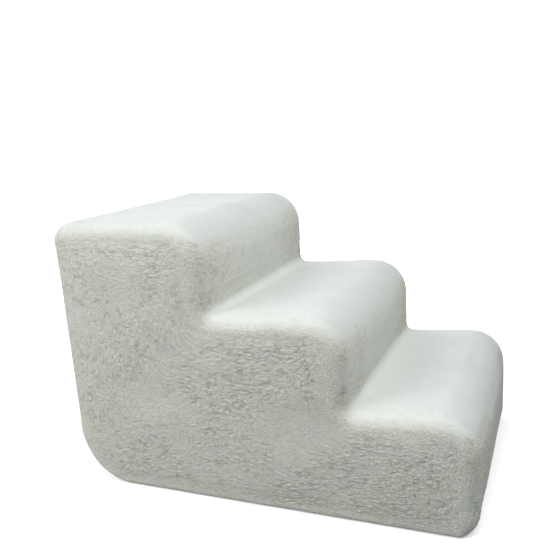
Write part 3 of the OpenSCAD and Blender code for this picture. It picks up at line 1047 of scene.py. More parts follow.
class Nodes:
    """Short ways to add and join the nodes of a tree."""

    def __init__(self, tree: Tree) -> None:
        """Keeps the tree that nodes are added to."""
        self.tree = tree

    def fill(self, node: Node, **sockets: object) -> Node:
        """Sets or feeds inputs of a node.

        Args:
            node: The node.
            **sockets: Values of inputs, or sockets that feed them, by name
                with _ for a space, or as i0, i1 for the first and second.

        Returns:
            The node.
        """
        for name, value in sockets.items():
            numbered = name[0] == "i" and name[1:].isdigit()
            socket = node.inputs[int(name[1:]) if numbered else name.replace("_", " ")]
            if isinstance(value, Socket):
                self.tree.links.new(value, socket)
            else:
                socket.default_value = value
        return node

    def add(
        self, kind: str, settings: dict[str, object] | None = None, **sockets: object
    ) -> Node:
        """Adds a node.

        Args:
            kind: Blender's name of the node type, without "ShaderNode".
            settings: Properties of the node itself.
            **sockets: Inputs, as for fill.

        Returns:
            The node.
        """
        node = self.tree.nodes.new("ShaderNode" + kind)
        for name, value in (settings or {}).items():
            setattr(node, name, value)
        return self.fill(node, **sockets)

    def math(self, operation: str, *values: object, clamp: bool = False) -> Socket:
        """Adds a Math node and returns its result."""
        sockets = {f"i{k}": v for k, v in enumerate(values)}
        return self.add("Math", {"operation": operation, "use_clamp": clamp}, **sockets).outputs[0]

    def times(self, a: object, b: object) -> Socket:
        """Adds a Math node that multiplies."""
        return self.math("MULTIPLY", a, b)

    def plus(self, a: object, b: object, clamp: bool = False) -> Socket:
        """Adds a Math node that adds."""
        return self.math("ADD", a, b, clamp=clamp)

    def mix(self, factor: object, a: object, b: object) -> Socket:
        """Adds a colour Mix node and returns its result."""
        return self.add("Mix", {"data_type": "RGBA"}, i0=factor, i6=a, i7=b).outputs[2]

    def spread(
        self, value: object, low: float, high: float, to_low: float = 0.0, to_high: float = 1.0
    ) -> Socket:
        """Adds a Map Range node from low and high to two other values."""
        ends = {"i1": low, "i2": high, "i3": to_low, "i4": to_high}
        return self.add("MapRange", None, i0=value, **ends).outputs[0]

    def noise(self, place: Socket, scale: object, detail: float, **more: object) -> Node:
        """Adds a Noise Texture node."""
        return self.add("TexNoise", None, Vector=place, Scale=scale, Detail=detail, **more)

    def bump(self, height: Socket, distance: float) -> Socket:
        """Adds a Bump node of a depth in metres and returns its normal."""
        return self.add("Bump", None, Height=height, Distance=distance).outputs[0]


def blank(owner: Material | bpy.types.World) -> Nodes:
    """Empties the node tree of a material or world and returns its nodes."""
    owner.use_nodes = True
    owner.node_tree.nodes.clear()
    return Nodes(owner.node_tree)


class Effects:
    """Shader node groups that more than one material uses."""

    def __init__(self) -> None:
        """Builds each group once."""
        self.wool = self.make_wool()
        self.weave = self.make_weave()
        self.grain = self.make_grain()

    def make_wool(self) -> Tree:
        """Colour and fine height of wool: small curls, stray hair and creases.

        Curls are rings of distance round scattered centres whose place
        wanders, and hair is fine noise. A curly place takes the side colour, a
        combed one the tread colour. Painted shade darkens it towards the crease
        colour: the shade stored in the pile attribute, and more in the gaps
        between curls.

        Returns:
            The group.
        """
        colours = {f"{kind} Colour": GREY for kind in ("Tread", "Side", "Warm", "Crease")}
        numbers = {"Pile": 1.0, "Curly": 1.0, "Curl Scale": 260.0, "Variation": 0.08}
        tree = new_group("wool", colours | numbers, {"Colour": GREY, "Height": 0.0})
        n, given = Nodes(tree), tree.nodes["in"].outputs
        place = n.add("TexCoord").outputs["Object"]
        shift = n.noise(place, 150.0, 2.0).outputs["Color"]
        shifted = n.add(
            "VectorMath", {"operation": "MULTIPLY_ADD"}, i0=shift, i1=3 * (0.006,), i2=place
        ).outputs[0]
        curls = n.add("TexVoronoi", {"feature": "F1"}, Vector=shifted, Scale=given["Curl Scale"])
        far = curls.outputs["Distance"]
        hair = n.noise(shifted, 820.0, 3.0, Roughness=0.6).outputs[0]
        curly = n.spread(given["Curly"], 0.2, 0.9)
        rings = n.math("SINE", n.times(far, 10.0))
        locks = n.plus(n.times(rings, 0.2), n.spread(far, 0.0, 0.9, 1.0, 0.0))
        locks = n.times(locks, n.plus(n.times(curly, 0.85), 0.15))
        height = n.plus(locks, n.times(n.spread(hair, 0.3, 0.7, -0.5, 0.5), 0.4))
        tint = n.noise(place, 24.0, 3.0).outputs[0]
        shade = n.times(n.spread(tint, 0.35, 0.65), given["Variation"])
        warm = n.spread(n.noise(shifted, 32.0, 2.0).outputs[0], 0.36, 0.64)
        sides = n.mix(warm, given["Side Colour"], given["Warm Colour"])
        body = n.mix(curly, given["Tread Colour"], sides)
        body = n.mix(shade, body, given["Crease Colour"])
        # Painted shade: the stored pile shade and the gaps between curls darken the colour towards
        # the crease colour.
        crease = n.math("SUBTRACT", 1.0, given["Pile"], clamp=True)
        pit = n.times(n.spread(far, 0.5, 0.9), n.times(curly, 0.32))
        painted_shade = n.plus(n.times(crease, 1.2), pit, clamp=True)
        colour = n.mix(painted_shade, body, given["Crease Colour"])
        n.fill(tree.nodes["out"], Colour=colour, Height=height)
        return tree

    def make_weave(self) -> Tree:
        """Plain weave on a pair of coordinates: threads over and under.

        Two sine waves along the coordinates make the threads, and a checker of
        the same pitch says which one lies on top. The colour is darkened with
        painted shade where the threads lie low, between them.

        Returns:
            The group.
        """
        inputs = {"Vector": (0.0, 0.0, 0.0), "Threads": 1000.0, "Colour": GREY}
        tree = new_group("weave", inputs, {"Colour": GREY, "Height": 0.0})
        n, given = Nodes(tree), tree.nodes["in"].outputs
        scaled = n.add(
            "VectorMath", {"operation": "SCALE"}, i0=given["Vector"], Scale=given["Threads"]
        ).outputs[0]
        parts = n.add("SeparateXYZ", i0=scaled).outputs
        warp, weft = (n.math("ABSOLUTE", n.math("SINE", n.times(p, math.pi))) for p in parts[:2])
        check = n.add("TexChecker", Vector=scaled, Scale=1.0).outputs["Fac"]
        over = n.add("Mix", {"data_type": "FLOAT"}, i0=check, i2=warp, i3=weft).outputs[0]
        height = n.plus(over, n.times(n.noise(scaled, 2.3, 2.0).outputs[0], 0.25))
        # Painted shade: darker where the threads lie low.
        painted_shade = n.spread(over, 0.0, 0.7, 0.35, 0.0)
        colour = n.mix(painted_shade, given["Colour"], (0.25, 0.25, 0.24, 1.0))
        n.fill(tree.nodes["out"], Colour=colour, Height=height)
        return tree

    def make_grain(self) -> Tree:
        """Fine uneven surface with slow stains, for foam, plastic and metal.

        The height is distance from scattered centres and fine noise. Stains
        lie where slow noise is high. The pits at the centres are darkened
        towards the stain colour as painted shade.

        Returns:
            The group.
        """
        inputs = {"Colour": GREY, "Stain": GREY, "Scale": 600.0, "Amount": 0.15, "Roughness": 0.6}
        tree = new_group("grain", inputs, {"Colour": GREY, "Height": 0.0, "Roughness": 0.0})
        n, given = Nodes(tree), tree.nodes["in"].outputs
        place = n.add("TexCoord").outputs["Object"]
        cells = n.add("TexVoronoi", {"feature": "F1"}, Vector=place, Scale=given["Scale"])
        far = cells.outputs["Distance"]
        fine = n.noise(place, given["Scale"], 3.0).outputs[0]
        slow = n.noise(place, 17.0, 3.0).outputs[0]
        stain = n.times(n.spread(slow, 0.4, 0.7), given["Amount"])
        # Painted shade in the pits at the cell centres, towards the stain colour.
        pit = n.times(n.spread(far, 0.0, 0.25, 1.0, 0.0), given["Amount"])
        n.fill(
            tree.nodes["out"],
            Colour=n.mix(n.plus(stain, pit, clamp=True), given["Colour"], given["Stain"]),
            Height=n.plus(n.times(far, 0.7), n.times(fine, 0.3)),
            Roughness=n.plus(given["Roughness"], n.times(n.math("SUBTRACT", slow, 0.5), 0.2)),
        )
        return tree


@dataclass(frozen=True)
class Finish:
    """Base of every finish: its slot and how it starts a material."""

    slot: Slot

    def start(self) -> tuple[Material, Nodes, Node]:
        """Makes an empty material with its Principled shader and output.

        Returns:
            The material, its nodes, and the shader.
        """
        material = bpy.data.materials.new(self.slot.value)
        n = blank(material)
        shader = n.add("BsdfPrincipled")
        n.add("OutputMaterial", Surface=shader.outputs[0])
        return material, n, shader


@dataclass(frozen=True)
class Fleece(Finish):
    """White wool fleece, curly on the sides and laid flat on the treads."""

    tread: Colour = (0.84, 0.868, 0.843, 1.0)
    side: Colour = (0.835, 0.862, 0.786, 1.0)
    warm: Colour = (0.855, 0.853, 0.752, 1.0)
    # Colour that painted shade darkens the wool towards, in creases, low places of the tufts, gaps
    # between curls and hollows; random patches are also tinted towards it.
    crease: Colour = (0.50, 0.51, 0.44, 1.0)
    bump_depth: float = 0.75 * MM
    curl_scale: float = 300.0
    variation: float = 0.10
    roughness: float = 0.95
    specular: float = 0.12
    sheen: float = 0.2
    sheen_roughness: float = 0.6

    def material(self, effects: Effects) -> Material:
        """Builds the material: wool colour and height, matt, with sheen.

        Args:
            effects: Shared node groups.

        Returns:
            The material.
        """
        made, n, shader = self.start()
        # The pile attribute holds painted shade, as a brightness from 0 to 1, which darkens the
        # colour.
        stored = {
            name.title(): n.add("Attribute", {"attribute_name": name}).outputs["Fac"]
            for name in ("pile", "curly")
        }
        wool = n.add(
            "Group", {"node_tree": effects.wool}, Tread_Colour=self.tread, Side_Colour=self.side,
            Warm_Colour=self.warm, Crease_Colour=self.crease, Curl_Scale=self.curl_scale,
            Variation=self.variation, **stored,
        ).outputs
        n.fill(
            shader, Base_Color=wool["Colour"], Roughness=self.roughness,
            Specular_IOR_Level=self.specular, Sheen_Weight=self.sheen,
            Sheen_Roughness=self.sheen_roughness, Normal=n.bump(wool["Height"], self.bump_depth),
        )
        return made


@dataclass(frozen=True)
class Grainy(Finish):
    """Cut foam, moulded plastic or plated metal."""

    colour: Colour = (0.62, 0.63, 0.62, 1.0)
    stain: Colour = (0.45, 0.45, 0.43, 1.0)
    scale: float = 1500.0
    amount: float = 0.2
    roughness: float = 0.45
    metallic: float = 0.0
    specular: float = 0.5
    bump_depth: float = 0.03 * MM

    def material(self, effects: Effects) -> Material:
        """Builds the material: a grain of pits and stains with uneven gloss.

        Args:
            effects: Shared node groups.

        Returns:
            The material.
        """
        made, n, shader = self.start()
        grain = n.add(
            "Group", {"node_tree": effects.grain}, Colour=self.colour, Stain=self.stain,
            Scale=self.scale, Amount=self.amount, Roughness=self.roughness,
        ).outputs
        n.fill(
            shader, Base_Color=grain["Colour"], Roughness=grain["Roughness"],
            Metallic=self.metallic, Specular_IOR_Level=self.specular,
            Normal=n.bump(grain["Height"], self.bump_depth),
        )
        return made


@dataclass(frozen=True)
class Cloth(Finish):
    """Plain woven cloth, on object or UV coordinates."""

    colour: Colour = (0.5, 0.5, 0.49, 1.0)
    threads: float = 1100.0
    on: str = "Object"
    roughness: float = 0.85
    sheen: float = 0.1
    bump_depth: float = 0.15 * MM

    def material(self, effects: Effects) -> Material:
        """Builds the material: threads that pass over and under each other.

        Args:
            effects: Shared node groups.

        Returns:
            The material.
        """
        made, n, shader = self.start()
        weave = n.add(
            "Group", {"node_tree": effects.weave}, Vector=n.add("TexCoord").outputs[self.on],
            Threads=self.threads, Colour=self.colour,
        ).outputs
        n.fill(
            shader, Base_Color=weave["Colour"], Roughness=self.roughness, Sheen_Weight=self.sheen,
            Normal=n.bump(weave["Height"], self.bump_depth),
        )
        return made


FINISHES = (
    Grainy(
        Slot.FOAM, colour=(0.84, 0.78, 0.56, 1.0), stain=(0.62, 0.52, 0.30, 1.0), scale=750.0,
        amount=0.4, roughness=0.92, specular=0.2, bump_depth=0.5 * MM,
    ),
    Fleece(Slot.SIDE),
    Fleece(Slot.TREAD),
    Grainy(
        Slot.DOTS, colour=(0.42, 0.42, 0.41, 1.0), stain=(0.30, 0.30, 0.29, 1.0), roughness=0.5
    ),
    Cloth(Slot.BASE),
    Cloth(Slot.TAPE, colour=(0.74, 0.74, 0.71, 1.0), threads=1600.0, on="UV"),
    Cloth(Slot.THREAD, colour=(0.88, 0.88, 0.84, 1.0), threads=2400.0),
    Grainy(Slot.TEETH),
    Grainy(
        Slot.METAL, colour=(0.44, 0.44, 0.455, 1.0), stain=(0.30, 0.30, 0.31, 1.0),
        roughness=0.36, metallic=1.0,
    ),
)


class Wardrobe:
    """All materials, and the pieces that wear them."""

    def __init__(self) -> None:
        """Builds the shared effects and every material."""
        effects = Effects()
        self.materials = {finish.slot: finish.material(effects) for finish in FINISHES}
        self.pieces: list[Piece] = []

    def dress(self, piece: Piece, finish: Slot) -> None:
        """Gives a piece a material and lists it."""
        piece.data.materials.clear()
        piece.data.materials.append(self.materials[finish])
        self.pieces.append(piece)

    def settle(self, piece: Piece, slot: Slot, node: str = "", extra: Slot | None = None) -> None:
        """Dresses a new piece and rests it on the stairs.

        Args:
            piece: The piece.
            slot: Slot of the record for its finish.
            node: Node that it replaces, or nothing.
            extra: Finish beside those of the record.
        """
        self.dress(piece, extra or slot)
        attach(piece, STAIRS)
        if node:
            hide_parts(node)


# Cover panels

@dataclass
class Made:
    """Anything made to the stairs' form and dressed from the wardrobe."""

    form: StairForm
    wardrobe: Wardrobe

    @property
    def path(self) -> "ZipPath":
        """Centre line of the zip."""
        return ZipPath.on(self.form)


@dataclass
class Panel(Made):
    """Panel of the cover: a fine outer face, a coarse lining, hems between.

    The panel is a surface over two parameters, down and across, which both
    run from 0 to 1. The lining has one point for each step of the outer
    face's.
    """

    name: str
    node: str
    slot: Slot = Slot.SIDE
    step: int = 4
    spacing: float = 1.9 * MM

    def sew(
        self, points: Array, faces: list[Array], wool: list[Array], flat: Pair, area: float
    ) -> None:
        """Args:
            points: Points of the outer face, then of the lining.
            faces: Arrays of faces.
            wool: Painted shade of the pile at each outer point, as a brightness from 0 to 1, and
                its curliness.
            flat: Width and length of the cut piece. Not used.
            area: Its area. Not used.
        """
        piece = make_mesh(self.name, points, faces)
        mark_rim(piece, len(wool[0]))
        # The pile attribute holds the painted shade, as a brightness from 0 to 1.
        for name, values in zip(("pile", "curly"), wool):
            set_attribute(piece, name, values)
        self.wardrobe.settle(piece, self.slot, self.node)

    def extent(self) -> Pair:
        """Lengths of the cut panel down and across."""
        raise NotImplementedError

    def layer(self, down: Array, across: Array, depth: float) -> tuple[Array, Array]:
        """Places one layer of the panel, at shares down and across it."""
        raise NotImplementedError

    def cut_area(self) -> float:
        """Area of the cut panel."""
        long, wide = self.extent()
        return long * wide

    def stations(self, length: float) -> Array:
        """Even shares from 0 to 1, a whole number of lining steps."""
        count = self.step * max(1, round(length / self.spacing / self.step))
        return np.linspace(0.0, 1.0, count + 1)

    def build(self, pile: Pile) -> None:
        """Args:
            pile: Wool of the cover.
        """
        long, wide = self.extent()
        down, across = self.stations(long), self.stations(wide)
        face, normals = self.layer(down, across, 0.0)
        lining, _ = self.layer(down[::self.step], across[::self.step], self.form.cover_t)
        outer, *wool = pile.raised(face.reshape(-1, 3), normals.reshape(-1, 3))
        (rows, cols), (in_rows, in_cols) = face.shape[:2], lining.shape[:2]
        faces = [
            grid_quads(rows, cols, 0, True),
            grid_quads(in_rows, in_cols, len(outer)),
            hem_faces(grid_rim(rows, cols), grid_rim(in_rows, in_cols, len(outer)), self.step),
        ]
        points = np.concatenate([outer, lining.reshape(-1, 3)])
        self.sew(points, faces, wool, (wide, long), self.cut_area())


@dataclass
class StepStrip(Panel):
    """Cover over one step: riser, nose and tread, between the side panels.

    The strip is a profile in the side view carried across the stairs, which
    turns down over both side edges to the seams.
    """

    slot: Slot = Slot.TREAD
    number: int = 0

    def extent(self) -> Pair:
        """Lengths of the profile and of the width with both edges."""
        form = self.form
        wide = 2.0 * (form.flat_y + form.side_edge_r * form.seam_turn)
        return form.strip(self.number).length(), wide

    def layer(self, down: Array, across: Array, depth: float) -> tuple[Array, Array]:
        """Places one layer of the strip.

        A point is the profile's point drawn in by the side edge's rounding,
        raised along its normal by the sewn crown, which falls off with the
        square of the distance from the middle.

        Args:
            down: Shares of the profile.
            across: Shares of the width.
            depth: Depth under its face.

        Returns:
            Points and unit normals.
        """
        form = self.form
        p = form.strip(self.number).at(down)[:, None, :]
        nx, nz, crown = (p[..., k] for k in (2, 3, 4))
        width = self.extent()[1] * (across[None, :] - 0.5)
        side = np.sign(width)
        a = np.clip((np.abs(width) - form.flat_y) / form.side_edge_r, 0.0, None)
        share = np.clip(width / form.flat_y, -1.0, 1.0)
        x, z = form.drawn_in(p, depth, a)
        y = np.where(a > 0.0, side * form.layer_y(depth, a), share * form.flat_y)
        lift = form.sewn * crown * (1.0 - share ** 2) if depth == 0.0 else 0.0
        normals = nx * np.cos(a), side * np.sin(a), nz * np.cos(a)
        return stacked(x + lift * nx, y, z + lift * nz), stacked(*normals)


@dataclass
class SidePanel(Panel):
    """Side of the cover: the whole step outline, with rounded edges.

    Slanting lines on which x - z is fixed run from the edge over the steps to
    the edge along the floor and the back. The middle is a grid on these lines,
    and rings of points round it turn over the edge to the seam.
    """

    side: float = 1.0
    slant_lines: int = 332
    across: int = 240
    edge_rings: int = 9
    in_rings: int = 3
    dents: tuple[Point, ...] = ((0.070, 0.125, 0.060), (-0.170, 0.150, 0.045))

    def side_layer(
        self, stair: Array, floor: Array, across: int, rings: int, depth: float
    ) -> tuple[Array, Array, Array]:
        """Places one layer of the panel: its middle grid, then its rings.

        A middle point lies on the straight line between the two drawn-in edge
        points, and swells outwards by the sewn crown times four s (1 - s). Ring
        points are edge points at lesser angles round the side edge.

        Args:
            stair: Outline rows over the steps, one for each slanting line.
            floor: Outline rows along the floor and back.
            across: Steps along a slanting line.
            rings: Rings round the edge.
            depth: Depth under its face.

        Returns:
            Points, normals, and each point's distance from the edge.
        """
        form = self.form
        s = np.linspace(0.0, 1.0, across + 1)[None, :]

        def blend(turn: float) -> tuple[Array, Array]:
            """Places of all slanting lines' points at one angle."""
            ax, az = form.drawn_in(stair, depth, turn, hem=True)
            bx, bz = form.drawn_in(floor, depth, turn, hem=True)
            return ax[:, None] + (bx - ax)[:, None] * s, az[:, None] + (bz - az)[:, None] * s

        x, z = blend(RIGHT)
        long = np.hypot(x[:, -1] - x[:, 0], z[:, -1] - z[:, 0])[:, None]
        span = np.minimum(1.0, long / form.low_z)
        lift = form.sewn * span * 4.0 * s * (1.0 - s) if depth == 0.0 else 0.0
        points = [stacked(x, form.layer_y(depth, RIGHT) + lift, z).reshape(-1, 3)]
        normals = [np.tile([0.0, 1.0, 0.0], (x.size, 1))]
        rim = grid_rim(len(stair), across + 1)
        n = stair[:, None, 2:4] + (floor[:, None, 2:4] - stair[:, None, 2:4]) * s[..., None]
        out = n.reshape(-1, 2)[rim]
        out = out / np.maximum(np.linalg.norm(out, axis=1, keepdims=True), 1e-9)
        for turn in np.linspace(form.seam_turn, RIGHT, rings + 1)[:-1]:
            x, z = (v.ravel()[rim] for v in blend(turn))
            points.append(stacked(x, form.layer_y(depth, turn), z))
            nx, nz = (out * math.cos(turn)).T
            normals.append(stacked(nx, math.sin(turn), nz))
        inside = (np.minimum(s, 1.0 - s) * long * 0.75).ravel()
        inside = np.concatenate([inside, np.zeros(rings * len(rim))])
        return np.concatenate(points), np.concatenate(normals), inside

    def layer_faces(
        self, lines: int, across: int, rings: int, start: int, flip: bool
    ) -> tuple[list[Array], Array]:
        """Joins the middle grid and the rings of one layer.

        Args:
            lines: Steps between slanting lines.
            across: Steps along one.
            rings: Rings round the edge.
            start: Number of the layer's first point.
            flip: Whether they are turned over.

        Returns:
            Arrays of faces, and the point numbers along the seam.
        """
        rows, cols = lines + 1, across + 1
        rim = grid_rim(rows, cols)
        first = start + rows * cols
        loops = [first + k * len(rim) + np.arange(len(rim)) for k in range(rings)] + [start + rim]
        walls = [loop_quads(low, high, flip) for low, high in zip(loops[:-1], loops[1:])]
        return [grid_quads(rows, cols, start, flip)] + walls, loops[0]

    def build(self, pile: Pile) -> None:
        """Args:
            pile: Wool of the cover.
        """
        form, step, lines, across = self.form, self.step, self.slant_lines, self.across
        chains = form.stair_chain(), form.floor_chain()
        first, last = (chains[0].rows[k, 0] - chains[0].rows[k, 1] for k in (0, -1))
        stair, floor = (chain.by_slant(np.linspace(first, last, lines + 1)) for chain in chains)
        mirror, flip = np.array([1.0, self.side, 1.0]), self.side > 0.0
        points, normals, inside = self.side_layer(stair, floor, across, self.edge_rings, 0.0)
        ramp = between(-4 * MM, 20 * MM, inside)
        outer, *wool = pile.raised(points * mirror, normals * mirror, self.dents, ramp)
        lining = self.side_layer(
            stair[::step], floor[::step], across // step, self.in_rings, form.cover_t
        )[0]
        faces, seam = self.layer_faces(lines, across, self.edge_rings, 0, flip)
        in_faces, in_seam = self.layer_faces(
            lines // step, across // step, self.in_rings, len(outer), not flip
        )
        faces += in_faces + [hem_faces(seam, in_seam, step, not flip)]
        middle = points[: len(stair) * (across + 1)].reshape(len(stair), -1, 3)
        edge = (chains[0].length() + chains[1].length()) * form.side_edge_r * math.pi / 4
        flat = form.front_x - form.back_x, form.top_z
        points = np.concatenate([outer, lining * mirror])
        self.sew(points, faces, wool, flat, surface_area(middle) + edge)


# Back of the cover

@dataclass(frozen=True)
class ZipPath:
    """Centre line of the zip: down the left upright, across, and up again."""

    zip_y: float
    top_z: float
    low_z: float = 106 * MM
    corner_r: float = 40 * MM
    slot_w: float = 14 * MM
    margin: float = 47 * MM

    @classmethod
    def on(cls, form: StairForm) -> "ZipPath":
        """Places the zip on the back of the stairs."""
        top = form.top_z - form.rear_top_r - form.back_hem - 2.0 * form.seam
        return cls(zip_y=form.side_y - cls.margin, top_z=top)

    @property
    def leg(self) -> float:
        """Length of an upright."""
        return self.top_z - self.low_z - self.corner_r

    @property
    def bend(self) -> float:
        """Length of a corner."""
        return self.corner_r * RIGHT

    @property
    def bend_y(self) -> float:
        """Distance of a corner's centre from the middle."""
        return self.zip_y - self.corner_r

    @property
    def bend_z(self) -> float:
        """Height of the corners' centres."""
        return self.low_z + self.corner_r

    @property
    def length(self) -> float:
        """Length of the whole centre line."""
        return 2.0 * (self.leg + self.bend + self.bend_y)

    def at(self, s: Array, offset: Array) -> tuple[Array, Array]:
        """Points beside the centre line.

        The run is straight, then a quarter circle, straight, a quarter circle
        and straight. A positive offset lies towards the flap, so it lessens
        the radius of a corner.

        Args:
            s: Lengths along the centre line.
            offset: Distances from it.

        Returns:
            The y and the z of every point.
        """
        half = self.length / 2
        side = np.where(s > half, 1.0, -1.0)
        run = np.where(s > half, self.length - s, s)
        angle = np.clip((run - self.leg) / self.corner_r, 0.0, RIGHT)
        r = self.corner_r - offset
        y = self.bend_y + r * np.cos(angle) - np.clip(run - self.leg - self.bend, 0.0, None)
        z = self.bend_z - r * np.sin(angle) + np.clip(self.leg - run, 0.0, None)
        return side * y, z

    def slot_floor(self, y: Array, r: float) -> Array:
        """Height of the slot's edge: level, then the foot of a circle of radius r."""
        out = np.clip((np.abs(y) - self.bend_y) / r, 0.0, 1.0)
        return self.bend_z - r * np.sqrt(np.clip(1.0 - out ** 2, 0.0, 1.0))

    def to_bend(self, y: Array, z: Array) -> Array:
        """Distance from a corner's centre, over the quarter below and beyond it."""
        return np.hypot(np.clip(y - self.bend_y, 0.0, None), np.clip(self.bend_z - z, 0.0, None))


def rolled(distance: Array, r: float = 3.6 * MM) -> Array:
    """Depth of a rolled edge: a quarter circle over the last r to the edge."""
    left = r - np.clip(distance, 0.0, r)
    return r - np.sqrt(r * r - left * left)


@dataclass
class BackPanel(Panel):
    """Any fleece panel of the back, which knows where the zip runs."""

    @property
    def slot_y(self) -> float:
        """Distance of the upright slot's outer edge from the middle."""
        return self.path.zip_y + self.path.slot_w / 2

    @property
    def edge_arc(self) -> float:
        """Mean length of the turn over the rear edge to the seam."""
        return 0.5 * (self.form.rear_edge_r + self.form.side_edge_r) * self.form.seam_turn

    def head(self, depth: float) -> float:
        """Height of a layer's seam under the top strip."""
        return self.path.top_z + (2.0 if depth == 0.0 else 1.0) * self.form.seam


@dataclass
class BackFlap(BackPanel):
    """Flap that the zip opens, with two rounded lower corners."""

    @property
    def r(self) -> float:
        """Radius of its lower corners."""
        return self.path.corner_r - self.path.slot_w / 2

    def extent(self) -> Pair:
        """Height and width of the cut flap."""
        return self.head(0.0) - self.path.low_z, 2.0 * (self.path.bend_y + self.r)

    def cut_area(self) -> float:
        """Area of the flap, less its rounded corners."""
        long, wide = self.extent()
        return long * wide - 2.0 * self.r ** 2 * (1.0 - math.pi / 4)

    def layer(self, down: Array, across: Array, depth: float) -> tuple[Array, Array]:
        """Places one layer of the flap.

        Columns are spaced evenly round the two corners, and each runs from the
        seam above down to the slot. The edge along the slot is rolled in.

        Args:
            down: Shares of the height.
            across: Shares of the width.
            depth: Depth under its face.

        Returns:
            Points and unit normals.
        """
        path, r = self.path, self.r
        w = (across[None, :] * 2.0 - 1.0) * (path.bend_y + r * RIGHT)
        turn = np.clip((np.abs(w) - path.bend_y) / r, 0.0, RIGHT)
        y = np.sign(w) * (np.minimum(np.abs(w), path.bend_y) + r * np.sin(turn))
        low, top = path.slot_floor(y, r), self.head(depth)
        z = top + (low - top) * down[:, None]
        y = np.broadcast_to(y, z.shape)
        edge = path.bend_y + r - np.abs(y)
        inside = np.where(z < path.bend_z, r - path.to_bend(np.abs(y), z), edge)
        x = self.form.back_x + depth + (rolled(inside) if depth == 0.0 else 0.0)
        points = stacked(x, y, z)
        return points, np.broadcast_to([-1.0, 0.0, 0.0], points.shape)


@dataclass
class BackBorder(BackPanel):
    """Border beside the flap, from the slot round to the side's seam."""

    side: float = 1.0

    def extent(self) -> Pair:
        """Height and width of the cut border."""
        wide = self.form.flat_y - self.slot_y + self.edge_arc
        return self.head(0.0) - self.path.bend_z, wide

    def layer(self, down: Array, across: Array, depth: float) -> tuple[Array, Array]:
        """Places one layer of the border.

        Its first columns are flat, and the rest turn round the rear edge. The
        edge along the slot is rolled in.

        Args:
            down: Shares of the height.
            across: Shares of the width.
            depth: Depth under its face.

        Returns:
            Points and unit normals.
        """
        form, path, side = self.form, self.path, self.side
        flat, wide = form.flat_y - self.slot_y, self.extent()[1]
        w = ((across if side > 0.0 else 1.0 - across) * wide)[None, :]
        a = np.clip((w - flat) / (wide - flat), 0.0, 1.0) * form.seam_turn
        low = path.bend_z + (form.seam / 2 if depth > 0.0 else 0.0)
        top = self.head(depth)
        z = top + (low - top) * down[:, None]
        y = side * np.where(a > 0.0, form.layer_y(depth, a), self.slot_y + w)
        x = form.back_x + form.rounding(form.rear_edge_r, depth, a)
        x = x + (rolled(w) if depth == 0.0 else 0.0)
        points = stacked(x, y, z)
        normals = stacked(-np.cos(a), side * np.sin(a), 0.0)
        return points, np.broadcast_to(normals, points.shape)


@dataclass
class BackHem(BackPanel):
    """Border under the flap, which runs on round the rear foot."""

    straight: float = 0.24

    def extent(self) -> Pair:
        """Length and width of the cut border."""
        long = self.path.bend_z - self.form.rear_foot_r * (1.0 - RIGHT)
        return long, 2.0 * (self.form.flat_y + self.edge_arc)

    def cut_area(self) -> float:
        """Area of the border, less the part that the flap takes."""
        (long, wide), path = self.extent(), self.path
        taken = (path.bend_y + 0.8 * path.corner_r) * (path.corner_r + path.slot_w / 2)
        return long * wide - 2.0 * taken

    def layer(self, down: Array, across: Array, depth: float) -> tuple[Array, Array]:
        """Places one layer of the border.

        Columns are spaced evenly round the slot's corners and the rear edges.
        Each runs from the slot down the back, then round the rear foot as a
        quarter circle to the floor.

        Args:
            down: Shares of the length.
            across: Shares of the width.
            depth: Depth under its face.

        Returns:
            Points and unit normals.
        """
        form, path = self.form, self.path
        r = path.corner_r + path.slot_w / 2
        edge = path.bend_y + r * RIGHT
        flat = edge + form.flat_y - path.bend_y - r
        w = (across[None, :] * 2.0 - 1.0) * (flat + form.side_edge_r * form.seam_turn)
        side, out = np.sign(w), np.abs(w)
        turn = np.clip((out - path.bend_y) / r, 0.0, RIGHT)
        y = np.minimum(out, path.bend_y) + r * np.sin(turn) + np.clip(out - edge, 0.0, flat - edge)
        a = np.clip((out - flat) / form.side_edge_r, 0.0, None)
        level = path.bend_z - (form.seam / 2 if depth > 0.0 else 0.0)
        top = np.minimum(path.slot_floor(y, r), level)
        v, foot = down[:, None], form.rear_foot_r
        bent = np.clip((v - self.straight) / (1.0 - self.straight), 0.0, 1.0) * RIGHT
        nx, nz = -np.cos(bent), -np.sin(bent)
        rise = np.clip(1.0 - v / self.straight, 0.0, 1.0) * (top - foot)
        p = np.stack([form.back_x + foot + foot * nx, foot + foot * nz, nx, nz], axis=2)
        x, z = form.drawn_in(p, depth, a)
        z = z + rise
        inside = np.where(y > path.bend_y + r, 1.0, path.to_bend(y, z) - r)
        x = x + (rolled(inside) if depth == 0.0 else 0.0)
        y = side * np.where(a > 0.0, form.layer_y(depth, a), y)
        normals = nx * np.cos(a), side * np.sin(a), nz * np.cos(a)
        return stacked(x, y, z), stacked(*normals)


# Zip

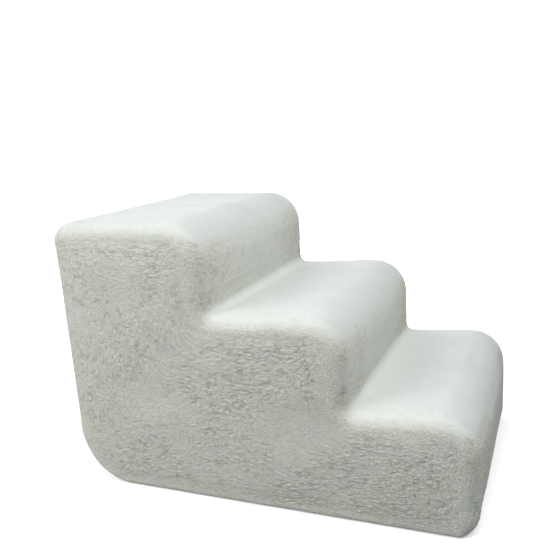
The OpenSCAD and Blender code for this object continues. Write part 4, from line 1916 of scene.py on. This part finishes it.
@dataclass
class ZipHalf(Made):
    """One edge of the zip: a woven tape, a cord of teeth and its stitches.

    Lengths off the zip's centre line are given without a sign, and a side of
    1 lays them towards the flap.
    """

    edge: str
    side: float
    tape_in: float = 3.4 * MM
    tape_t: float = 0.8 * MM
    tape_reach: float = 6.75 * MM
    tape_wave: float = 0.08 * MM
    row_reach: float = 3.1 * MM
    row_gap: float = 1.6 * MM
    spine_w: float = 0.69 * MM
    teeth_in: float = 2.3 * MM
    teeth_t: float = 3 * MM
    tooth_count: int = 129
    tooth_share: float = 0.45
    tooth_waist: float = 0.22
    end_room: float = 6 * MM
    stitch: float = 2.6 * MM
    stitch_gap: float = 1.0 * MM
    stitch_r: float = 0.36 * MM
    stitch_at: float = 5.3 * MM

    def stations(self, spacing: float) -> Array:
        """Even lengths along the zip, as a column."""
        length = self.path.length
        return np.linspace(0.0, length, round(length / spacing) + 1)[:, None]

    def place(self, s: Array, off: Array, depth: Array) -> Array:
        """Points at lengths s along the zip, off its centre line and a depth in."""
        return stacked(self.form.back_x + depth, *self.path.at(s, self.side * off))

    def tape(self) -> None:
        """Makes the tape: a flat loop carried along the path, faintly waved.

        The loop runs once round the tape's section, from the cord out on its
        face and back on its rear. Its UV map is the length along the zip and
        the distance off it, so the threads follow the corners.
        """
        wide = self.tape_reach - self.row_reach
        face = self.row_reach + wide * np.linspace(0.0, 1.0, 6)
        off = np.concatenate([face, face[::-1]])
        rear = np.repeat([0.0, 1.0], len(face))
        s = self.stations(2 * MM)
        wave = self.tape_wave * np.sin(s / (5.5 * MM)) * (off - self.row_reach) / wide
        points = self.place(s, off, self.tape_in + wave + self.tape_t * rear)
        faces = tube_faces(*points.shape[:2], flip=self.side < 0.0)
        piece = make_mesh(f"zip_{self.edge}_tape", points, faces, sharp=50.0)
        set_uv(piece, stacked(s, off + 2 * MM * rear))
        self.wardrobe.settle(piece, Slot.TAPE, f"zip_tape_{self.edge}")

    def teeth(self) -> None:
        """Makes the cord with its moulded teeth, all in one mesh.

        The cord is an oval carried along the path. A tooth is a rounded block:
        the signed root of the cosine and sine of two angles, scaled to its
        three half sizes, and a little waisted where it leaves the cord.
        """
        half, deep = self.spine_w / 2, self.teeth_in + self.teeth_t / 2
        turn = np.arange(10) * math.tau / 10
        oval = self.row_reach - half + half * np.cos(turn), 0.44 * self.teeth_t * np.sin(turn)
        cord = self.place(self.stations(3 * MM), oval[0], deep + oval[1])
        up = np.radians([-58.0, -24.0, 24.0, 58.0])[:, None]
        along = signed_root(np.cos(up), 0.4) * signed_root(np.cos(turn), 0.5)
        out = signed_root(np.cos(up), 0.4) * signed_root(np.sin(turn), 0.5)
        tip, base = self.row_gap / 2, self.row_reach - half
        off = (tip + base) / 2 - out * (base - tip) / 2
        waist = 1.0 - self.tooth_waist * smooth((off - tip) / (base - tip))
        pitch = (self.path.length - 2 * self.end_room) / self.tooth_count
        starts = self.end_room + pitch * (np.arange(self.tooth_count) + 0.5)
        s = starts[:, None, None] + along * waist * pitch * self.tooth_share / 2
        tooth = self.place(s, off, deep + signed_root(np.sin(up), 0.5) * self.teeth_t / 2)
        flip, count = self.side > 0.0, cord.size // 3
        faces = tube_faces(*cord.shape[:2], flip=flip)
        faces += repeated(tube_faces(4, 10, flip), self.tooth_count, 40, count)
        points = np.concatenate([cord.reshape(-1, 3), tooth.reshape(-1, 3)])
        piece = make_mesh(f"zip_{self.edge}_teeth", points, faces, sharp=55.0)
        self.wardrobe.settle(piece, Slot.TEETH, f"zip_teeth_{self.edge}")

    def stitches(self) -> None:
        """Makes the row of stitches that holds the tape, all in one mesh.

        A stitch is a thread of five rings of six points. Its middle stands
        over the tape and its ends dip into it, as the sine of its length.
        """
        pitch = self.stitch + self.stitch_gap
        count = int((self.path.length - 2 * self.end_room) / pitch)
        t = np.linspace(0.0, 1.0, 5)[:, None]
        turn = np.arange(6) * math.tau / 6
        s = self.end_room + pitch * np.arange(count)[:, None, None] + self.stitch * t
        rise = np.sin(math.pi * t)
        thick = self.stitch_r * (0.45 + 0.55 * rise)
        depth = self.tape_in - 0.30 * self.stitch_r * rise - thick * np.sin(turn)
        points = self.place(s, self.stitch_at + thick * np.cos(turn), depth)
        faces = repeated(tube_faces(5, 6, self.side > 0.0), count, 30)
        piece = make_mesh(f"zip_{self.edge}_stitches", points, faces)
        self.wardrobe.settle(piece, Slot.TAPE, extra=Slot.THREAD)


# Core and base

@dataclass
class FoamSlab(Made):
    """One slab of the foam core, cut to the steps' outline.

    The slab is a closed outline in the side view carried across the stairs,
    and drawn in over both rounded side edges.
    """

    name: str
    node: str
    outline: Array
    flat_columns: int = 60
    edge_columns: int = 12

    def build(self) -> None:
        form, depth = self.form, self.form.cover_t + self.form.play
        edge = np.linspace(RIGHT, 0.0, self.edge_columns + 1)[:-1]
        flat = np.linspace(-1.0, 1.0, self.flat_columns + 1)
        a = np.concatenate([edge, np.zeros(len(flat)), edge[::-1]])[:, None]
        ones = np.ones(len(edge))
        share = np.concatenate([-ones, flat, ones])[:, None]
        x, z = form.drawn_in(self.outline[None], depth, a)
        z = np.maximum(z, form.base_t + form.play)
        y = np.where(a > 0.0, np.sign(share) * form.layer_y(depth, a), share * form.flat_y)
        points = stacked(x, y, z)
        piece = make_mesh(self.name, points, tube_faces(*points.shape[:2]), sharp=50.0)
        self.wardrobe.settle(piece, Slot.FOAM, self.node)


def foam_core(form: StairForm, wardrobe: Wardrobe, glue: float = 0.3 * MM) -> list[FoamSlab]:
    """Lays out the three slabs that are glued one on another.

    A glued face is level with its neighbour's, and the outline of each slab
    takes up the noses and feet that it carries.

    Args:
        form: Smooth form of the stairs.
        wardrobe: All materials.
        glue: Height of a glued face over the foam of the tread in front.

    Returns:
        The slabs, from the base up.
    """
    (mid_x, low_z), (top_x, mid_z) = form.hollows
    low, mid = (z - (form.cover_t + form.play) + glue for z in (low_z, mid_z))

    def point(x: float, z: float, nx: float, nz: float = 0.0) -> Array:
        """One outline row."""
        return np.array([[x, z, nx, nz, 0.0]])

    back_low, back_mid = point(form.back_x, low, -1.0), point(form.back_x, mid, -1.0)
    front_mid, front_top = point(mid_x, low, 1.0), point(top_x, mid, 1.0)
    outlines = {
        "base": [
            form.front_foot(-90.0, 0.0), form.nose(0), form.tread(0),
            point(mid_x, low_z - form.sag, 1.0, 1.0), front_mid, back_low,
            form.rear_foot(180.0, 270.0),
        ],
        "middle": [
            front_mid, form.nose(1), form.tread(1),
            point(top_x, mid_z - form.sag, 1.0, 1.0), front_top, back_mid, back_low,
        ],
        "top": [front_top, form.nose(2), form.rear_top(90.0, 180.0), back_mid],
    }
    return [
        FoamSlab(form, wardrobe, f"{level}_foam", f"foam_{level}_slab", np.concatenate(parts))
        for level, parts in outlines.items()
    ]


@dataclass
class BasePanel(Made):
    """Cloth under the stairs, with rows of non-slip dots."""

    spacing: float = 4 * MM
    lift: float = 0.8 * MM
    wave: float = 0.25 * MM
    wave_cell: float = 40 * MM
    dot_pitch: float = 12 * MM
    dot_edge: float = 8 * MM
    dot_r: float = 2.1 * MM
    dot_in: float = 0.6 * MM

    def corners(self) -> tuple[float, float, float]:
        """Finds the cloth's edges.

        Returns:
            Its nearest x, furthest x and half its width.
        """
        form = self.form
        middle_r = form.side_edge_r - form.cover_t / 2
        y = form.layer_y(form.cover_t, form.seam_turn + form.seam / 2 / middle_r) - form.seam
        near, far = form.back_x + form.rear_foot_r, form.front_x - form.front_foot_r
        return near + form.seam, far - form.seam, float(y)

    def cloth(self) -> None:
        """Makes the cloth: two grids, a thickness apart, with faint waves.
        """
        x0, x1, y1 = self.corners()
        xs = np.linspace(x0, x1, round((x1 - x0) / self.spacing) + 1)
        ys = np.linspace(-y1, y1, round(2 * y1 / self.spacing) + 1)
        x, y = np.meshgrid(xs, ys, indexing="ij")
        flat = stacked(x, y, 0.0).reshape(-1, 3)
        wave = drift(flat, self.wave_cell, 71)[:, 0].reshape(x.shape)
        low = stacked(x, y, self.lift + self.wave * (1.0 + wave))
        high = stacked(x, y, self.form.base_t)
        rim = grid_rim(*x.shape)
        faces = [
            grid_quads(*x.shape, flip=True),
            grid_quads(*x.shape, start=x.size),
            loop_quads(rim, rim + x.size),
        ]
        piece = make_mesh("base_cloth", np.concatenate([low, high]), faces, sharp=40.0)
        self.wardrobe.settle(piece, Slot.BASE, "base_panel")

    def dots(self) -> None:
        """Makes the dots: low domes in staggered rows, all in one mesh.

        A dome is three rings of eight points, whose radius falls as the cosine
        and whose height grows as the sine.
        """
        x0, x1, y1 = self.corners()
        pitch, edge = self.dot_pitch, self.dot_edge
        rows = np.arange(x0 + edge, x1 - edge, pitch * math.sqrt(3.0) / 2.0)
        cols = np.arange(-y1 + edge, y1 - edge - pitch / 2, pitch)
        x, y = np.meshgrid(rows, cols, indexing="ij")
        y = y + (np.arange(len(rows)) % 2)[:, None] * pitch / 2
        turn = np.arange(8) * math.pi / 4
        rise = np.array([[0.0], [0.45], [1.05]])
        radius, tall = self.dot_r * np.cos(rise), self.lift + self.dot_in
        height = tall - tall * np.sin(rise) / math.sin(rise[-1, 0])
        out, along = radius * np.cos(turn), radius * np.sin(turn)
        x, y = x[..., None, None] + out, y[..., None, None] + along
        faces = repeated(tube_faces(3, 8, True), len(rows) * len(cols), 24)
        piece = make_mesh("base_dots", stacked(x, y, height), faces)
        self.wardrobe.settle(piece, Slot.BASE, extra=Slot.DOTS)


# Studio

def stand(name: str, data: bpy.types.ID, right: Array, up: Array, place: Point) -> Piece:
    """Puts a camera or lamp in the scene, with its axes as its matrix.

    Args:
        name: Name of the object.
        data: The camera or lamp.
        right: Unit vector to its right.
        up: Unit vector up from it.
        place: Where it stands.

    Returns:
        The object.
    """
    thing = bpy.data.objects.new(name, data)
    bpy.context.scene.collection.objects.link(thing)
    matrix = np.eye(4)
    matrix[:3] = stacked(right, up, np.cross(right, up), place)
    thing.matrix_world = Matrix(matrix.tolist())
    return thing


@dataclass(frozen=True)
class PhotoCamera:
    """Camera fitted to the photograph's edges."""

    frame_px: float = 560.0
    focal_px: float = 662.3
    centre_px: Pair = (310.3, 295.0)
    place: Point = (0.3772, -0.9455, 0.5300)
    azimuth: float = 20.773
    elevation: float = 14.935
    roll: float = -2.810
    sensor_mm: float = 36.0

    def build(self) -> None:
        """Makes the scene's camera.

        It looks back along the direction given by azimuth and elevation, and
        is turned about that direction by the roll. The lens is the focal
        length in frame widths times the sensor's width.
        """
        az, el, roll = (math.radians(v) for v in (self.azimuth, self.elevation, self.roll))
        level = math.cos(el)
        away = np.array([math.sin(az) * level, -math.cos(az) * level, math.sin(el)])
        right = np.array([math.cos(az), math.sin(az), 0.0])
        up = np.cross(away, right)
        data = bpy.data.cameras.new("camera")
        data.sensor_width = self.sensor_mm
        data.lens = self.focal_px / self.frame_px * self.sensor_mm
        data.shift_x = (self.frame_px / 2 - self.centre_px[0]) / self.frame_px
        data.shift_y = (self.centre_px[1] - self.frame_px / 2) / self.frame_px
        c, s = math.cos(roll), math.sin(roll)
        camera = stand("camera", data, c * right + s * up, c * up - s * right, self.place)
        bpy.context.scene.camera = camera


@dataclass(frozen=True)
class Lamp:
    """Round soft lamp that faces the stairs."""

    name: str
    place: Point
    power: float
    size: float = 1.5
    colour: Point = (1.0, 0.995, 0.975)
    aim_z: float = 0.2

    def build(self) -> None:
        """Makes the lamp, turned so that it shines on the stairs' middle."""
        data = bpy.data.lights.new(self.name, "AREA")
        data.shape = "DISK"
        data.size = self.size
        data.energy = self.power
        data.color = self.colour
        back = np.array(self.place) - (0.0, 0.0, self.aim_z)
        back = back / np.linalg.norm(back)
        right = np.cross([0.0, 0.0, 1.0], back)
        right /= np.linalg.norm(right)
        stand(self.name, data, right, np.cross(back, right), self.place)


@dataclass(frozen=True)
class Studio:
    """Pale floor, three soft lamps and a white surround."""

    floor_size: float = 12.0
    floor_colour: Colour = (0.30, 0.30, 0.30, 1.0)
    floor_seen: Colour = (0.97, 0.97, 0.97, 1.0)
    glow_far: Pair = (0.45, 1.1)
    glow_low: float = 0.38
    sky: float = 0.14
    sky_colour: Colour = (0.74, 0.86, 1.0, 1.0)
    lamps: tuple[Lamp, ...] = (
        Lamp("key", (0.57, -0.33, 1.42), 16.4),
        Lamp("fill", (-1.18, -1.25, 1.00), 18.8),
        Lamp("back", (-1.15, 1.35, 0.55), 20.0),
    )

    def seen(self, n: Nodes) -> Socket:
        """Share that is 1 for what the camera sees, mirrored or through glass."""
        rays = n.add("LightPath").outputs
        either = n.math("MAXIMUM", rays["Is Camera Ray"], rays["Is Glossy Ray"])
        return n.math("MAXIMUM", either, rays["Is Transmission Ray"])

    def floor(self) -> None:
        """Makes the floor, white to the eye and pale grey to the light.

        It glows more with distance from the stairs, so that it is plain white
        all round and keeps their shadow beside them.
        """
        corners = np.array([[-1, -1, 0], [1, -1, 0], [1, 1, 0], [-1, 1, 0]]) * self.floor_size / 2
        floor = make_mesh("floor", corners, [np.array([[0, 1, 2, 3]])], soft=False)
        material = bpy.data.materials.new("floor")
        n = blank(material)
        seen = self.seen(n)
        place = n.add("TexCoord").outputs["Object"]
        away = n.add("VectorMath", {"operation": "LENGTH"}, i0=place).outputs["Value"]
        glow = n.spread(away, *self.glow_far, self.glow_low, 1.0)
        matt = n.add("BsdfDiffuse", Color=n.mix(seen, self.floor_colour, self.floor_seen))
        light = n.add("Emission", Color=WHITE, Strength=n.times(seen, glow))
        both = n.add("AddShader", i0=matt.outputs[0], i1=light.outputs[0])
        n.add("OutputMaterial", Surface=both.outputs[0])
        floor.data.materials.append(material)

    def world(self) -> None:
        """Makes the surround: white to the eye, soft sky light otherwise."""
        world = bpy.data.worlds.new("studio")
        bpy.context.scene.world = world
        n = blank(world)
        seen = self.seen(n)
        strength = n.spread(seen, 0.0, 1.0, self.sky, 1.0)
        back = n.add("Background", Color=n.mix(seen, self.sky_colour, WHITE), Strength=strength)
        n.add("OutputWorld", Surface=back.outputs[0])

    def build(self) -> None:
        """Sets up the whole studio."""
        bpy.context.scene.view_settings.view_transform = "Standard"
        self.floor()
        self.world()
        for lamp in self.lamps:
            lamp.build()


def cover(form: StairForm, wardrobe: Wardrobe) -> list[Panel]:
    """Lays out the fleece pieces of the cover.

    Args:
        form: Smooth form of the stairs.
        wardrobe: All materials.

    Returns:
        The pieces, not yet built.
    """
    kit, sides = (form, wardrobe), (("left", -1.0), ("right", 1.0))
    levels = enumerate(("lower", "middle", "upper"))
    return [
        *(SidePanel(*kit, f"{s}_side_fleece", f"{s}_side_panel", side=y) for s, y in sides),
        *(StepStrip(*kit, f"{v}_step_fleece", f"{v}_step_strip", number=k) for k, v in levels),
        BackFlap(*kit, "back_flap_fleece", "back_flap"),
        *(BackBorder(*kit, f"{s}_border_fleece", f"back_border_{s}", side=y) for s, y in sides),
        BackHem(*kit, "rear_foot_fleece", "back_border_bottom"),
    ]


def main() -> None:
    """Builds the sub-assemblies in order and reports each piece."""
    logging.basicConfig(level=logging.INFO, format="%(name)s %(message)s")
    PhotoCamera().build()
    Studio().build()
    form = StairForm.from_frame()
    pile = Pile(Stuffing(form))
    wardrobe = Wardrobe()
    for slab in foam_core(form, wardrobe):
        slab.build()
    for panel in cover(form, wardrobe):
        panel.build(pile)
    base = BasePanel(form, wardrobe)
    base.cloth()
    base.dots()
    for edge, side in (("flap", 1.0), ("border", -1.0)):
        half = ZipHalf(form, wardrobe, edge, side)
        half.tape()
        half.teeth()
        half.stitches()
    for name in ("zip_slider", "zip_pull", "zip_top_stops", "zip_bottom_stop"):
        wardrobe.dress(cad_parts[name], Slot.METAL)
    for piece in wardrobe.pieces:
        log.info("%s: %d points", piece.name, len(piece.data.vertices))


if __name__ == "__main__":
    main()
